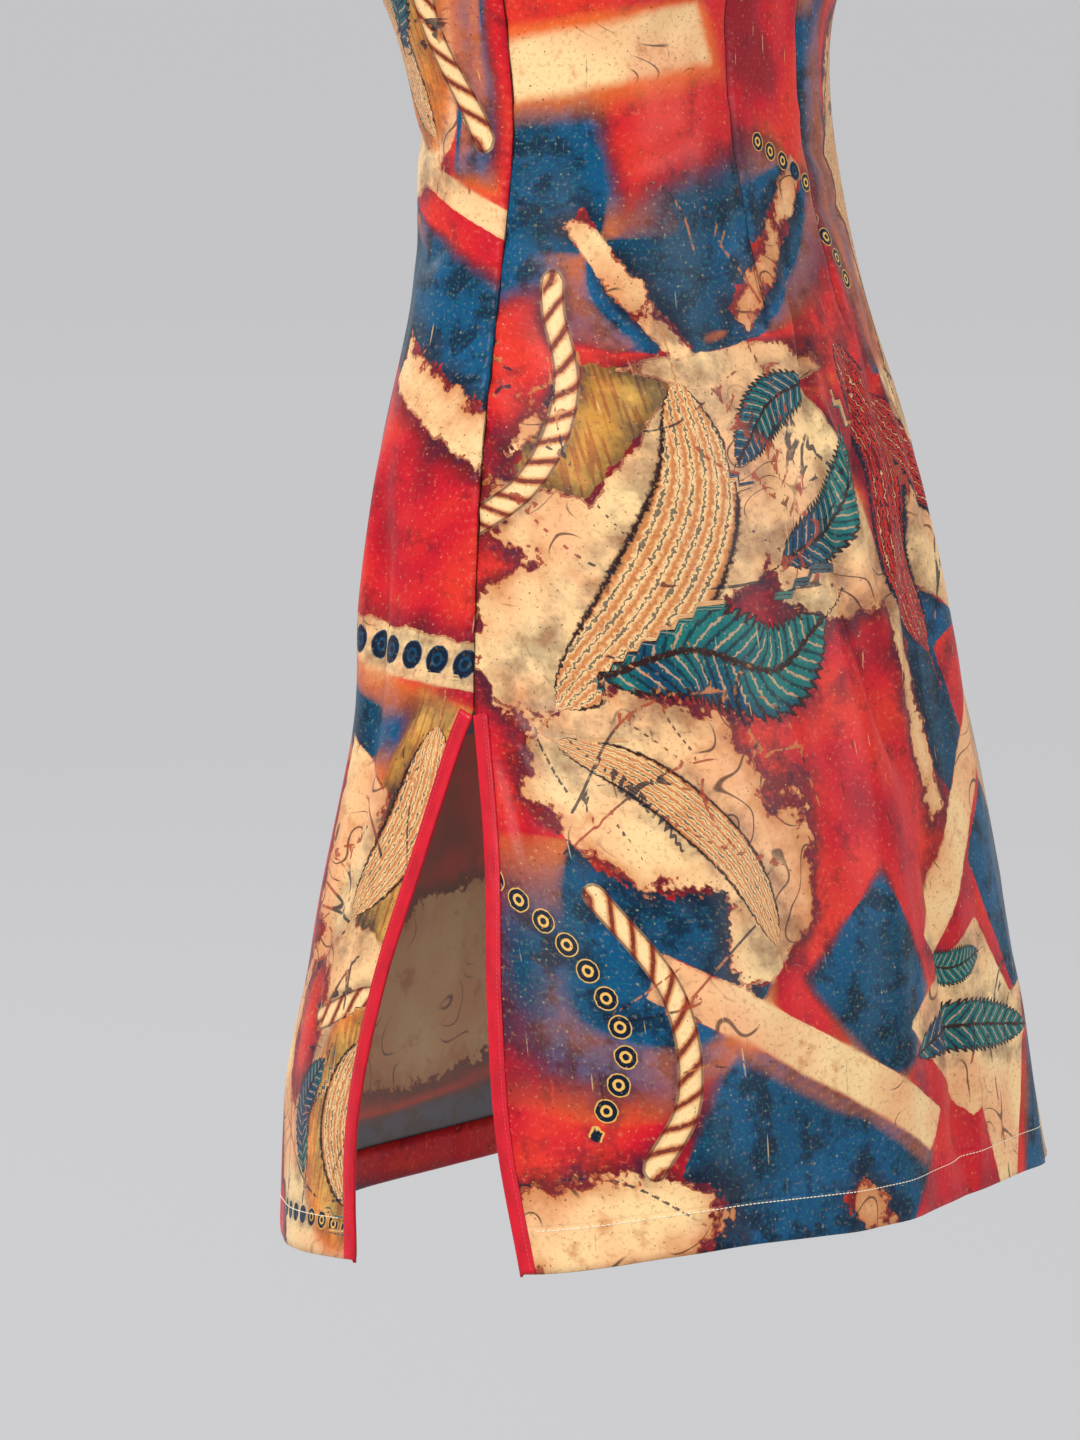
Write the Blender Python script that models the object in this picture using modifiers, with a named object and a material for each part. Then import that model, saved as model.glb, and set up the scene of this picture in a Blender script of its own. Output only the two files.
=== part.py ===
"""A sleeveless, knee-length cheongsam, standing in the hollow form it has when it is worn.

The wearer faces -Y and the wearer's right is -X. The origin is where the wearer's shoulders hold
the dress: midway between the two neck points of the shoulder seams. Heights below are measured up
from the level of the hem, as a maker measures a dress, and HOLD_HEIGHT takes them to Z.

Every panel lies on one hollow form. The form is a stack of rounded sections, each wider than deep,
and a place on it is a side (front or back), an angle from the centre line (-90 degrees is the
wearer's right side seam) and a height.
"""

import math

import bpy
from mathutils import Matrix, Vector
from mathutils.bvhtree import BVHTree

# ---------------------------------------------------------------- driving sizes, in metres

CLOTH = 0.0012  # thickness of a panel's wall
TAPE = 0.0008  # thickness of the bias binding
SEAM_GAP = 0.0003  # what two sewn pieces keep between them
CURVED_SLACK = 0.0006  # the same, under the binding of the curved opening
ARMHOLE_SLACK = 0.0009  # and under those of the armholes, which bend the most
BINDING_WIDTH = 0.0075
ARMHOLE_BINDING_WIDTH = 0.006
HOLD_HEIGHT = 0.975  # neck point of the shoulder seam, above the hem
UNDERARM_HEIGHT = 0.765
BUST_HEIGHT = 0.735
SHOULDER_DROP = 0.034  # from the neck point to the shoulder's tip
SHOULDER_RUN = 0.093  # the same, measured across
SLIT_TOP = 0.278
SLIT_TOP_STEP = 0.004  # height over which the edges above the slit draw together into the seam
OPENING_END = 0.712  # where the diagonal opening meets the side seam
OPENING_SWEEP = 1.6  # how late the opening's line turns up towards the neck
OPENING_OVERLAP = 0.025  # how far the under-front runs on beneath the front
OPENING_RISE = 0.018  # height over which it comes up level with the front again
NECK_HALF_WIDTH = 0.062
FRONT_NECK_DROP = 0.068
BACK_NECK_DROP = 0.020
COLLAR_BACK_HEIGHT = 0.044
COLLAR_FRONT_HEIGHT = 0.038
COLLAR_LEAN = 0.14  # how far the collar leans in, for each unit of its height
COLLAR_GAP = 0.004  # half of the gap at the centre front
COLLAR_CORNER = 0.014  # radius of the collar's front corners
COLLAR_SEAT = 0.0018  # from the neck line up to the collar's lower edge
SECTION_POWER = 2.5  # 2 would make each section an ellipse
SHOULDER_POWER = 2.2  # how roundly the form closes over the shoulders
ARMHOLE_REACH = 0.58  # the armhole's half width, as a share of the section's depth
ARMHOLE_CURVE = 0.4  # share of the armhole's height that its round bottom takes

# One row for each section of the form, from the hem up. The depths run forward and back from the
# line of the side seams, seam_y is where that line lies, and turn is the section's twist.
SECTION_COLUMNS = ("height", "half_width", "front_depth", "back_depth", "seam_y", "turn_deg")
SECTIONS = (
    (-0.010, 0.2210, 0.1170, 0.2260, -0.090, -4.0),
    (0.000, 0.2200, 0.1176, 0.2245, -0.088, -3.6),
    (0.145, 0.1970, 0.1400, 0.1792, -0.0545, -1.5),
    (0.278, 0.1675, 0.1346, 0.1355, -0.0387, -3.2),
    (0.395, 0.1506, 0.1232, 0.1168, -0.0282, -1.7),
    (0.485, 0.1331, 0.0932, 0.0991, -0.0276, -1.6),
    (0.565, 0.1236, 0.0740, 0.1027, -0.0294, -1.4),
    (0.625, 0.1285, 0.0737, 0.1140, -0.0263, -0.8),
    (0.705, 0.1380, 0.0900, 0.1215, -0.0200, 0.0),
    (0.765, 0.1500, 0.1040, 0.1200, -0.0150, 0.0),
    (0.850, 0.1620, 0.1040, 0.1130, -0.0060, 0.0),
    (0.941, 0.1750, 0.0980, 0.1080, 0.0000, 0.0),
    (0.990, 0.1800, 0.0950, 0.1060, 0.0000, 0.0),
)

# The hem's height round each panel. across runs from -1 at the wearer's right seam to 1.
HEM_COLUMNS = ("across", "front", "back")
HEM = (
    (-1.00, 0.0140, 0.0055),
    (-0.50, 0.0255, -0.0060),
    (-0.10, 0.0210, -0.0060),
    (0.20, 0.0215, -0.0040),
    (0.50, 0.0180, -0.0020),
    (1.00, 0.0020, 0.0000),
)

# How far each edge has swung away from the seam's line, in degrees, down the slit. drop is the
# share of the slit's height below its top.
SLIT_COLUMNS = ("drop", "front_right", "back_right", "front_left", "back_left")
SLITS = (
    (0.00, 0.0, 0.0, 0.0, 0.0),
    (0.25, 1.5, 7.2, 2.2, 5.0),
    (0.50, 1.2, 14.9, 3.6, 10.5),
    (0.75, 1.6, 20.1, 4.4, 15.0),
    (1.00, 5.2, 20.0, 5.6, 17.0),
)

# The largest folds. Each is a soft ridge that runs down one side of the form from one angle and
# height to another, stands out by rise and is about twice width wide.
FOLD_COLUMNS = ("side", "top_deg", "foot_deg", "top", "foot", "rise", "width")
FOLDS = (
    ("front", -9.0, -4.0, 0.56, -0.02, 0.0050, 0.016),
    ("front", 4.0, -15.0, 0.44, -0.02, 0.0030, 0.020),
    ("front", 24.0, 30.0, 0.50, -0.02, 0.0045, 0.018),
    ("front", 50.0, 55.0, 0.34, -0.02, 0.0040, 0.022),
    ("front", -52.0, -44.0, 0.20, -0.02, 0.0030, 0.030),
    ("back", -58.0, -28.0, 0.46, -0.02, 0.0045, 0.024),
    ("back", -12.0, -4.0, 0.36, -0.02, 0.0050, 0.026),
    ("back", 30.0, 22.0, 0.46, -0.02, 0.0050, 0.022),
    ("back", 58.0, 52.0, 0.32, -0.02, 0.0045, 0.026),
)
FOLD_FADE = 0.12  # height over which a fold rises from nothing

# Frog buttons on the diagonal opening: the angle of each on the opening's line.
FROG_ANGLES = (-18.0, -41.0)
CORD_RADIUS = 0.0012
KNOT_RADIUS = 0.0042
FROG_REACH = 0.021  # from the knot's middle to the end of each cord

# How finely each piece is divided.
PANEL_COLUMNS = 28
SKIRT_ROWS = 14
BODICE_ROWS = 16
UPPER_ROWS = 12
UNDERLAP_COLUMNS = 14
UNDERLAP_LOW_ROWS = 3
COLLAR_COLUMNS = 30
COLLAR_ROWS = 3
NECK_ACROSS = 6 / 14  # the share of a panel's half width, at its top, that the neck takes

CRIMSON = (0.62, 0.010, 0.025)
SAND = (0.80, 0.58, 0.32)
RED_PRINT = (0.55, 0.030, 0.030)
TEAL_PRINT = (0.020, 0.100, 0.160)


# ---------------------------------------------------------------- the form


def value_at(rows, key, column):
    """A smooth value from a table: a cubic through its rows that keeps each row's slope gentle."""
    keys = [row[0] for row in rows]
    values = [row[column] for row in rows]
    key = min(max(key, keys[0]), keys[-1])
    place = max(i for i in range(len(keys) - 1) if key >= keys[i])

    def slope(i):
        low = max(i - 1, 0)
        high = min(i + 1, len(keys) - 1)
        return (values[high] - values[low]) / (keys[high] - keys[low])

    span = keys[place + 1] - keys[place]
    t = (key - keys[place]) / span
    return (
        (2 * t**3 - 3 * t**2 + 1) * values[place]
        + (t**3 - 2 * t**2 + t) * span * slope(place)
        + (3 * t**2 - 2 * t**3) * values[place + 1]
        + (t**3 - t**2) * span * slope(place + 1)
    )


def section(height, column):
    return value_at(SECTIONS, height, SECTION_COLUMNS.index(column))


def smooth(t):
    t = min(max(t, 0.0), 1.0)
    return t * t * (3 - 2 * t)


def shoulder_height(x):
    slope = SHOULDER_DROP / SHOULDER_RUN
    return HOLD_HEIGHT - slope * max(abs(x) - NECK_HALF_WIDTH, 0.0)


def closing(x, height):
    """1 up to the bust, then down to 0 on the line of the shoulder seam."""
    t = (height - BUST_HEIGHT) / (shoulder_height(x) - BUST_HEIGHT)
    t = min(max(t, 0.0), 1.0)
    return (1 - t**SHOULDER_POWER) ** (1 / SHOULDER_POWER)


def fold_rise(side, angle, height):
    """How far the folds push the cloth out at a place."""
    rise = 0.0
    radius = section(height, "half_width")
    for row in FOLDS:
        fold = dict(zip(FOLD_COLUMNS, row))
        if fold["side"] != side or not fold["foot"] <= height <= fold["top"]:
            continue
        down = (fold["top"] - height) / (fold["top"] - fold["foot"])
        middle = math.radians(fold["top_deg"] + (fold["foot_deg"] - fold["top_deg"]) * down)
        off = (angle - middle) * radius / fold["width"]
        rise += fold["rise"] * smooth((fold["top"] - height) / FOLD_FADE) * math.exp(-off * off)
    return rise * smooth((math.pi / 2 - abs(angle)) / 0.25)


def form_point(side, angle, height):
    """The point of the form at a side, an angle from the centre line and a height."""
    power = 2 / SECTION_POWER
    half = section(height, "half_width")
    depth = section(height, side + "_depth")
    facing = -1 if side == "front" else 1
    x = half * math.copysign(abs(math.sin(angle)) ** power, angle)
    y = facing * depth * max(math.cos(angle), 0.0) ** power * closing(x, height)
    out = 1 + fold_rise(side, angle, height) / max(math.hypot(x, y), 0.01)
    turn = math.radians(section(height, "turn_deg"))
    turned = Matrix.Rotation(turn, 2) @ Vector((x * out, y * out))
    return Vector((turned.x, turned.y + section(height, "seam_y"), height - HOLD_HEIGHT))


def form_normal(side, angle, height):
    """The outward direction of the form at a place."""
    step = 0.02
    inner = min(max(angle, -math.pi / 2 + step), math.pi / 2 - step)
    across = form_point(side, inner + step, height) - form_point(side, inner - step, height)
    low = form_point(side, inner, height - 0.002)
    up = form_point(side, inner, height + 0.002) - low
    normal = across.cross(up).normalized()
    return normal if side == "front" else -normal


# ---------------------------------------------------------------- edges of the panels


def armhole_angle(height):
    """The armhole's edge: a round bottom at the underarm, then a steady share of the depth."""
    top = HOLD_HEIGHT - SHOULDER_DROP
    climb = min(max((height - UNDERARM_HEIGHT) / (top - UNDERARM_HEIGHT), 0.0), 1.0)
    bend = min(climb / ARMHOLE_CURVE, 1.0)
    reach = ARMHOLE_REACH * math.sqrt(1 - (1 - bend) ** 2)
    return math.acos(reach ** (SECTION_POWER / 2))


def angle_at(x, height):
    """The angle at which the form's section has this x."""
    share = min(abs(x) / section(height, "half_width"), 1.0)
    return math.copysign(math.asin(share ** (SECTION_POWER / 2)), x)


def neck_and_shoulder(across, neck_drop):
    """(angle, height) on a panel's top edge: round the neck, then out along the shoulder seam."""
    size = abs(across)
    if size <= NECK_ACROSS:
        turn = size / NECK_ACROSS * math.pi / 2
        x = NECK_HALF_WIDTH * math.sin(turn)
        height = HOLD_HEIGHT - neck_drop * math.cos(turn)
    else:
        tip = HOLD_HEIGHT - SHOULDER_DROP
        tip_x = form_point("front", armhole_angle(tip), tip).x
        share = (size - NECK_ACROSS) / (1 - NECK_ACROSS)
        x = NECK_HALF_WIDTH + (tip_x - NECK_HALF_WIDTH) * share
        height = shoulder_height(x)
    return math.copysign(angle_at(x, height), across), height


def opening_line(across):
    """(angle, height) of the diagonal opening, from the side seam at -1 to the neck at 0."""
    angle = across * math.pi / 2
    neck = HOLD_HEIGHT - FRONT_NECK_DROP
    return angle, OPENING_END + (neck - OPENING_END) * math.cos(angle) ** OPENING_SWEEP


def front_top(across):
    if across < 0:
        return opening_line(across)
    return neck_and_shoulder(across, FRONT_NECK_DROP)


def back_top(across):
    return neck_and_shoulder(across, BACK_NECK_DROP)


def hem_height(side, across):
    return value_at(HEM, across, HEM_COLUMNS.index(side))


def side_angle(side, across, height):
    """The angle of a panel's edge: on the seam, swung open down the slit, or the armhole."""
    hand = "right" if across < 0 else "left"
    if height >= UNDERARM_HEIGHT:
        return armhole_angle(height)
    drop = (SLIT_TOP - height) / SLIT_TOP
    swing = value_at(SLITS, drop, SLIT_COLUMNS.index(side + "_" + hand)) if drop > 0 else 0.0
    return math.pi / 2 - math.radians(swing)


def place_on_panel(side, across, height):
    """The angle of a panel's column at a height. Beside the seam its edge keeps the seam's gap,
    and beside the slit it leaves room for the folded binding."""
    bound = 1 - smooth((height - SLIT_TOP) / SLIT_TOP_STEP)
    clearance = 0.8 * SEAM_GAP + bound * (SEAM_GAP + TAPE)
    gap = clearance / section(height, side + "_depth")
    edge = side_angle(side, across, height)
    near_seam = smooth((edge - math.radians(60)) / math.radians(25))
    return across * (edge - near_seam * gap ** (SECTION_POWER / 2))


def patch_height(side, across):
    """Where a panel's rows start to bend towards its shaped top: at the underarm, or lower
    towards the side seam where the diagonal opening ends."""
    if side == "back" or across >= 0:
        return UNDERARM_HEIGHT
    low_end = OPENING_END - 0.030
    return UNDERARM_HEIGHT - (UNDERARM_HEIGHT - low_end) * smooth(-across)


def row_share(row, rows):
    """Rows that draw closer together at the armhole's round bottom and at the shoulder."""
    return (1 - math.cos(row / rows * math.pi)) / 2


def upper_place(side, across, share, low, top_of):
    """(angle, height) in the part of a panel that ends at its shaped top edge."""
    top_angle, top = top_of(across)
    height = low + (top - low) * share
    own = place_on_panel(side, across, height)
    return own + (top_angle - own) * smooth(share) if abs(across) < 1 else own, height


# ---------------------------------------------------------------- making pieces


def clear_scene():
    for item in list(bpy.data.objects):
        bpy.data.objects.remove(item)


def new_collection(name):
    made = bpy.data.collections.new(name)
    bpy.context.scene.collection.children.link(made)
    return made


def material(name, colour, roughness):
    made = bpy.data.materials.new(name)
    made.use_nodes = True
    shader = made.node_tree.nodes["Principled BSDF"]
    shader.inputs["Base Color"].default_value = (*colour, 1)
    shader.inputs["Roughness"].default_value = roughness
    shader.inputs["Metallic"].default_value = 0.0
    return made


def add_mesh(name, points, faces, colour, roughness):
    mesh = bpy.data.meshes.new(name)
    mesh.from_pydata(points, [], faces)
    mesh.update()
    mesh.shade_smooth()
    mesh.materials.append(material(name, colour, roughness))
    made = bpy.data.objects.new(name, mesh)
    DRESS.objects.link(made)
    return made


def grid_faces(rows, columns):
    """Triangles of a grid whose points run along each row in turn."""
    faces = []
    width = columns + 1
    for row in range(rows):
        for column in range(columns):
            a = row * width + column
            faces.append((a, a + 1, a + 1 + width))
            faces.append((a, a + 1 + width, a + width))
    return faces


def add_wall(name, grid, flip, colour, roughness=0.4, thickness=CLOTH):
    """A panel: an open surface through the grid's points, thickened evenly to both sides."""
    faces = grid_faces(len(grid) - 1, len(grid[0]) - 1)
    if flip:
        faces = [face[::-1] for face in faces]
    made = add_mesh(name, [p for row in grid for p in row], faces, colour, roughness)
    wall = made.modifiers.new("wall", "SOLIDIFY")
    wall.thickness = thickness
    wall.offset = 0.0
    return made


def add_binding(name, stations, slack=SEAM_GAP, closed=False):
    """A bias strip folded over an edge. Each station is a row of (point, outward direction) from
    the cloth's edge to one binding width in from it. slack is what it leaves to the cloth."""
    inner = CLOTH / 2 + slack
    outer = inner + TAPE
    points = []
    for station in stations:
        edge, normal = station[0]
        away = (edge - station[1][0]).normalized()
        bare = edge + away * SEAM_GAP
        fold = edge + away * (SEAM_GAP + TAPE)
        flange = station[1:]
        points += [point + facing * outer for point, facing in reversed(flange)]
        points += [fold + normal * outer, fold - normal * outer]
        points += [point - facing * outer for point, facing in flange]
        points += [point - facing * inner for point, facing in reversed(flange)]
        points += [bare - normal * inner, bare + normal * inner]
        points += [point + facing * inner for point, facing in flange]
    half = 2 * len(stations[0])
    sides = 2 * half
    count = len(stations)
    faces = []
    for station in range(count if closed else count - 1):
        after = (station + 1) % count
        for side in range(sides):
            beside = (side + 1) % sides
            faces.append((
                station * sides + side,
                station * sides + beside,
                after * sides + beside,
                after * sides + side,
            ))
    if not closed:
        # An open end is a U: quads between its outer line and its inner line close it.
        for start in (0, (count - 1) * sides):
            for side in range(half - 1):
                ends = (side, side + 1, sides - 2 - side, sides - 1 - side)
                faces.append(tuple(start + i for i in ends))
    made = add_mesh(name, points, faces, CRIMSON, 0.35)
    make_outward(made)
    made.data.set_sharp_from_angle(angle=math.radians(40))
    return made


def make_outward(made):
    """Turns a closed mesh's faces so that they all point out."""
    bpy.context.view_layer.objects.active = made
    bpy.ops.object.mode_set(mode="EDIT")
    bpy.ops.mesh.select_all(action="SELECT")
    bpy.ops.mesh.normals_make_consistent(inside=False)
    bpy.ops.object.mode_set(mode="OBJECT")


def add_cord(name, points, radii, colour):
    """A round cord along points, as thick at each as its radius says, with closed ends."""
    curve = bpy.data.curves.new(name, "CURVE")
    curve.dimensions = "3D"
    curve.bevel_depth = 1.0
    curve.bevel_resolution = 1
    curve.use_fill_caps = True
    line = curve.splines.new("POLY")
    line.points.add(len(points) - 1)
    for spot, point, radius in zip(line.points, points, radii):
        spot.co = (*point, 1)
        spot.radius = radius
    curve.materials.append(material(name, colour, 0.4))
    made = bpy.data.objects.new(name, curve)
    DRESS.objects.link(made)
    return made


# ---------------------------------------------------------------- panels


def panel_grid(side, top_of):
    """Rows of points from the hem to the panel's top edge."""
    acrosses = [2 * i / PANEL_COLUMNS - 1 for i in range(PANEL_COLUMNS + 1)]
    grid = []
    for row in range(SKIRT_ROWS):
        share = row / SKIRT_ROWS
        grid.append([
            level_point(side, across, hem_height(side, across) * (1 - share) + SLIT_TOP * share)
            for across in acrosses
        ])
    grid.append([level_point(side, across, SLIT_TOP) for across in acrosses])
    seam_foot = SLIT_TOP + SLIT_TOP_STEP
    for row in range(BODICE_ROWS):
        share = row / BODICE_ROWS
        grid.append([
            level_point(side, across, seam_foot + (patch_height(side, across) - seam_foot) * share)
            for across in acrosses
        ])
    for row in range(UPPER_ROWS + 1):
        share = row_share(row, UPPER_ROWS)
        grid.append([
            upper_point(side, across, share, patch_height(side, across), top_of)
            for across in acrosses
        ])
    return grid


def level_point(side, across, height):
    return form_point(side, place_on_panel(side, across, height), height)


def upper_point(side, across, share, low, top_of):
    """A point of a panel's upper part. At the shoulder it stops a little short of the seam."""
    angle, height = upper_place(side, across, share, low, top_of)
    point = form_point(side, angle, height)
    facing = -1 if side == "front" else 1
    seam = section(height, "seam_y")
    if height > UNDERARM_HEIGHT:
        point.y = seam + facing * max(facing * (point.y - seam), 1.5 * SEAM_GAP)
    return point


def underlap_sink(across, height):
    """How deep the under-front lies beneath the front: clear of the binding under the opening's
    edge, and level with the other panels again a little way above it."""
    depth = CLOTH + 2 * (CURVED_SLACK + TAPE) + SEAM_GAP
    above = height - opening_line(across)[1]
    return depth * (1 - smooth((above - CLOTH) / OPENING_RISE))


def underlap_top(across):
    return neck_and_shoulder(across, FRONT_NECK_DROP)


def underlap_point(across, share, low):
    angle, height = upper_place("front", across, share, low, underlap_top)
    point = upper_point("front", across, share, low, underlap_top)
    sink = underlap_sink(angle / (math.pi / 2), height)
    return point - form_normal("front", angle, height) * sink


def underlap_grid():
    """The small under-front: from below the opening's line up to the neck, shoulder and armhole.
    Its rows are drawn to the armhole's round bottom, and are even where it is low, at the neck."""
    acrosses = [column / UNDERLAP_COLUMNS - 1 for column in range(UNDERLAP_COLUMNS + 1)]
    foot = [opening_line(across)[1] - OPENING_OVERLAP for across in acrosses]
    side_run = UNDERARM_HEIGHT - foot[0]
    middle = [low + side_run * -across + 0.008 * (1 + across) for across, low in zip(acrosses, foot)]
    grid = []
    for row in range(UNDERLAP_LOW_ROWS):
        share = row / UNDERLAP_LOW_ROWS
        grid.append([
            underlap_point(across, 0, low + (high - low) * share)
            for across, low, high in zip(acrosses, foot, middle)
        ])
    for row in range(UPPER_ROWS + 1):
        even = row / UPPER_ROWS
        drawn = row_share(row, UPPER_ROWS)
        grid.append([
            underlap_point(across, drawn + (even - drawn) * (1 + across) ** 2, low)
            for across, low in zip(acrosses, middle)
        ])
    return grid


# ---------------------------------------------------------------- bindings


def grid_normal(grid, row, column, flip):
    """The outward direction of a grid's surface at one of its points."""
    last_row = len(grid) - 1
    last_column = len(grid[0]) - 1
    up = grid[min(row + 1, last_row)][column] - grid[max(row - 1, 0)][column]
    along = grid[row][min(column + 1, last_column)] - grid[row][max(column - 1, 0)]
    normal = along.cross(up).normalized()
    return -normal if flip else normal


def surface_of(*grids):
    """The panels' surface, to find its nearest point to a place."""
    points = []
    faces = []
    for grid in grids:
        start = len(points)
        points += [point for row in grid for point in row]
        for face in grid_faces(len(grid) - 1, len(grid[0]) - 1):
            faces.append([start + i for i in face])
    return BVHTree.FromPolygons(points, faces)


def divided(edge, parts, closed=False):
    """An edge's (point, outward direction) pairs, with each stretch between them in parts."""
    fine = []
    stretches = list(zip(edge, edge[1:] + edge[:1])) if closed else list(zip(edge, edge[1:]))
    for (point, normal), (next_point, next_normal) in stretches:
        for part in range(parts):
            share = part / parts
            fine.append((point.lerp(next_point, share), normal.lerp(next_normal, share).normalized()))
    return fine if closed else fine + edge[-1:]


def edge_stations(surface, edge, inward, width=BINDING_WIDTH, closed=False):
    """Stations for a binding along an edge, given as (point, outward direction) pairs. inward
    points roughly into the cloth at the first of them."""
    count = len(edge)
    stations = []
    hand = 0
    for i, (point, normal) in enumerate(edge):
        before = edge[(i - 1) % count if closed else max(i - 1, 0)][0]
        after = edge[(i + 1) % count if closed else min(i + 1, count - 1)][0]
        across = (after - before).normalized().cross(normal).normalized()
        hand = hand or math.copysign(1, across.dot(inward))
        inside, facing, _, _ = surface.find_nearest(point + across * hand * width)
        if facing.dot(normal) < 0:
            facing = -facing
        stations.append([(point, normal), (inside, (facing + normal).normalized())])
    return stations


def slit_edge(grid, column, flip):
    """The edge of a panel beside its slit, from the hem to the slit's top."""
    rows = range(SKIRT_ROWS + 1)
    return [(grid[row][column], grid_normal(grid, row, column, flip)) for row in rows]


def armhole_edge(front, back, column, back_column, front_low):
    """The closed edge of an armhole: up the front, over the shoulder and down the back."""
    front_rows = range(front_low + 1, len(front) - 1)
    back_low = len(back) - 1 - UPPER_ROWS
    back_rows = range(len(back) - 2, back_low, -1)
    edge = [(front[row][column], grid_normal(front, row, column, False)) for row in front_rows]
    edge.append(meeting(front, back, len(front) - 1, len(back) - 1, column, back_column))
    edge += [(back[row][back_column], grid_normal(back, row, back_column, True)) for row in back_rows]
    edge.append(meeting(front, back, front_low, back_low, column, back_column))
    return edge


def meeting(front, back, front_row, back_row, column, back_column):
    """Half way between two panels' corners, with a direction between theirs."""
    middle = (front[front_row][column] + back[back_row][back_column]) / 2
    normal = grid_normal(front, front_row, column, False)
    normal = normal + grid_normal(back, back_row, back_column, True)
    return middle, normal.normalized()


# ---------------------------------------------------------------- collar


def neck_line():
    """Close points round the neck, from the centre front past the wearer's right to the front."""
    steps = 24
    points = []
    for step in range(steps):
        points.append(neck_point("front", -NECK_ACROSS * step / steps))
    for step in range(2 * steps):
        points.append(neck_point("back", NECK_ACROSS * (step / steps - 1)))
    for step in range(steps + 1):
        points.append(neck_point("front", NECK_ACROSS * (1 - step / steps)))
    return points


def neck_point(side, across):
    drop = FRONT_NECK_DROP if side == "front" else BACK_NECK_DROP
    angle, height = neck_and_shoulder(across, drop)
    return form_point(side, angle, height)


def along_line(points, distance):
    """The point at a distance along a line of points."""
    for here, there in zip(points, points[1:]):
        step = (there - here).length
        if distance <= step:
            return here.lerp(there, distance / step)
        distance -= step
    return points[-1]


def line_length(points):
    return sum((b - a).length for a, b in zip(points, points[1:]))


def collar_distances(length):
    """Distances along the neck of the collar's columns, close together at its round corners."""
    corner = [0.0, 0.0015, 0.0045, 0.0085, COLLAR_CORNER]
    inner = length - 2 * COLLAR_GAP - 2 * COLLAR_CORNER
    run = [COLLAR_CORNER + inner * i / COLLAR_COLUMNS for i in range(1, COLLAR_COLUMNS)]
    far = [length - 2 * COLLAR_GAP - d for d in reversed(corner)]
    return [COLLAR_GAP + d for d in corner + run + far]


def collar_height(distance, length):
    """The collar is lowest over the shoulders, and its front corners are rounded off."""
    from_end = min(distance, length - distance) - COLLAR_GAP
    back_share = smooth(2 * min(distance, length - distance) / length)
    height = COLLAR_FRONT_HEIGHT + (COLLAR_BACK_HEIGHT - COLLAR_FRONT_HEIGHT) * back_share
    short = max(COLLAR_CORNER - from_end, 0.0)
    return height - COLLAR_CORNER + math.sqrt(COLLAR_CORNER**2 - short**2)


def collar_grid():
    """Rows of points up the collar, which leans in a little towards the neck."""
    line = neck_line()
    length = line_length(line)
    middle = sum(line, Vector()) / len(line)
    grid = []
    for row in range(COLLAR_ROWS + 1):
        share = row / COLLAR_ROWS
        points = []
        for distance in collar_distances(length):
            base = along_line(line, distance)
            inward = Vector((middle.x - base.x, middle.y - base.y, 0)).normalized()
            rise = (Vector((0, 0, 1)) + inward * COLLAR_LEAN) * collar_height(distance, length)
            points.append(base + Vector((0, 0, COLLAR_SEAT)) + rise * share)
        grid.append(points)
    return grid


def collar_stations(grid):
    """Stations up one front end of the collar, along its top and down the other end. Past the
    round corners each follows its column, because the collar bends at its columns."""
    top = len(grid) - 1
    last = len(grid[0]) - 1
    spots = [(row, 0) for row in range(top)]
    spots += [(top, column) for column in range(last + 1)]
    spots += [(row, last) for row in range(top - 1, -1, -1)]
    edge = [(grid[row][column], grid_normal(grid, row, column, True)) for row, column in spots]
    stations = edge_stations(surface_of(grid), edge, Vector((-1, 0, 0)))
    for i, (row, column) in enumerate(spots):
        if row == top and 5 <= column <= last - 5:
            point, normal = edge[i]
            down = (grid[top - 1][column] - point).normalized()
            along = (edge[i + 1][0] - edge[i - 1][0]).normalized()
            width = BINDING_WIDTH / down.cross(along).length
            stations[i][1] = (point + down * width, normal)
    return stations


# ---------------------------------------------------------------- frog buttons


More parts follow.
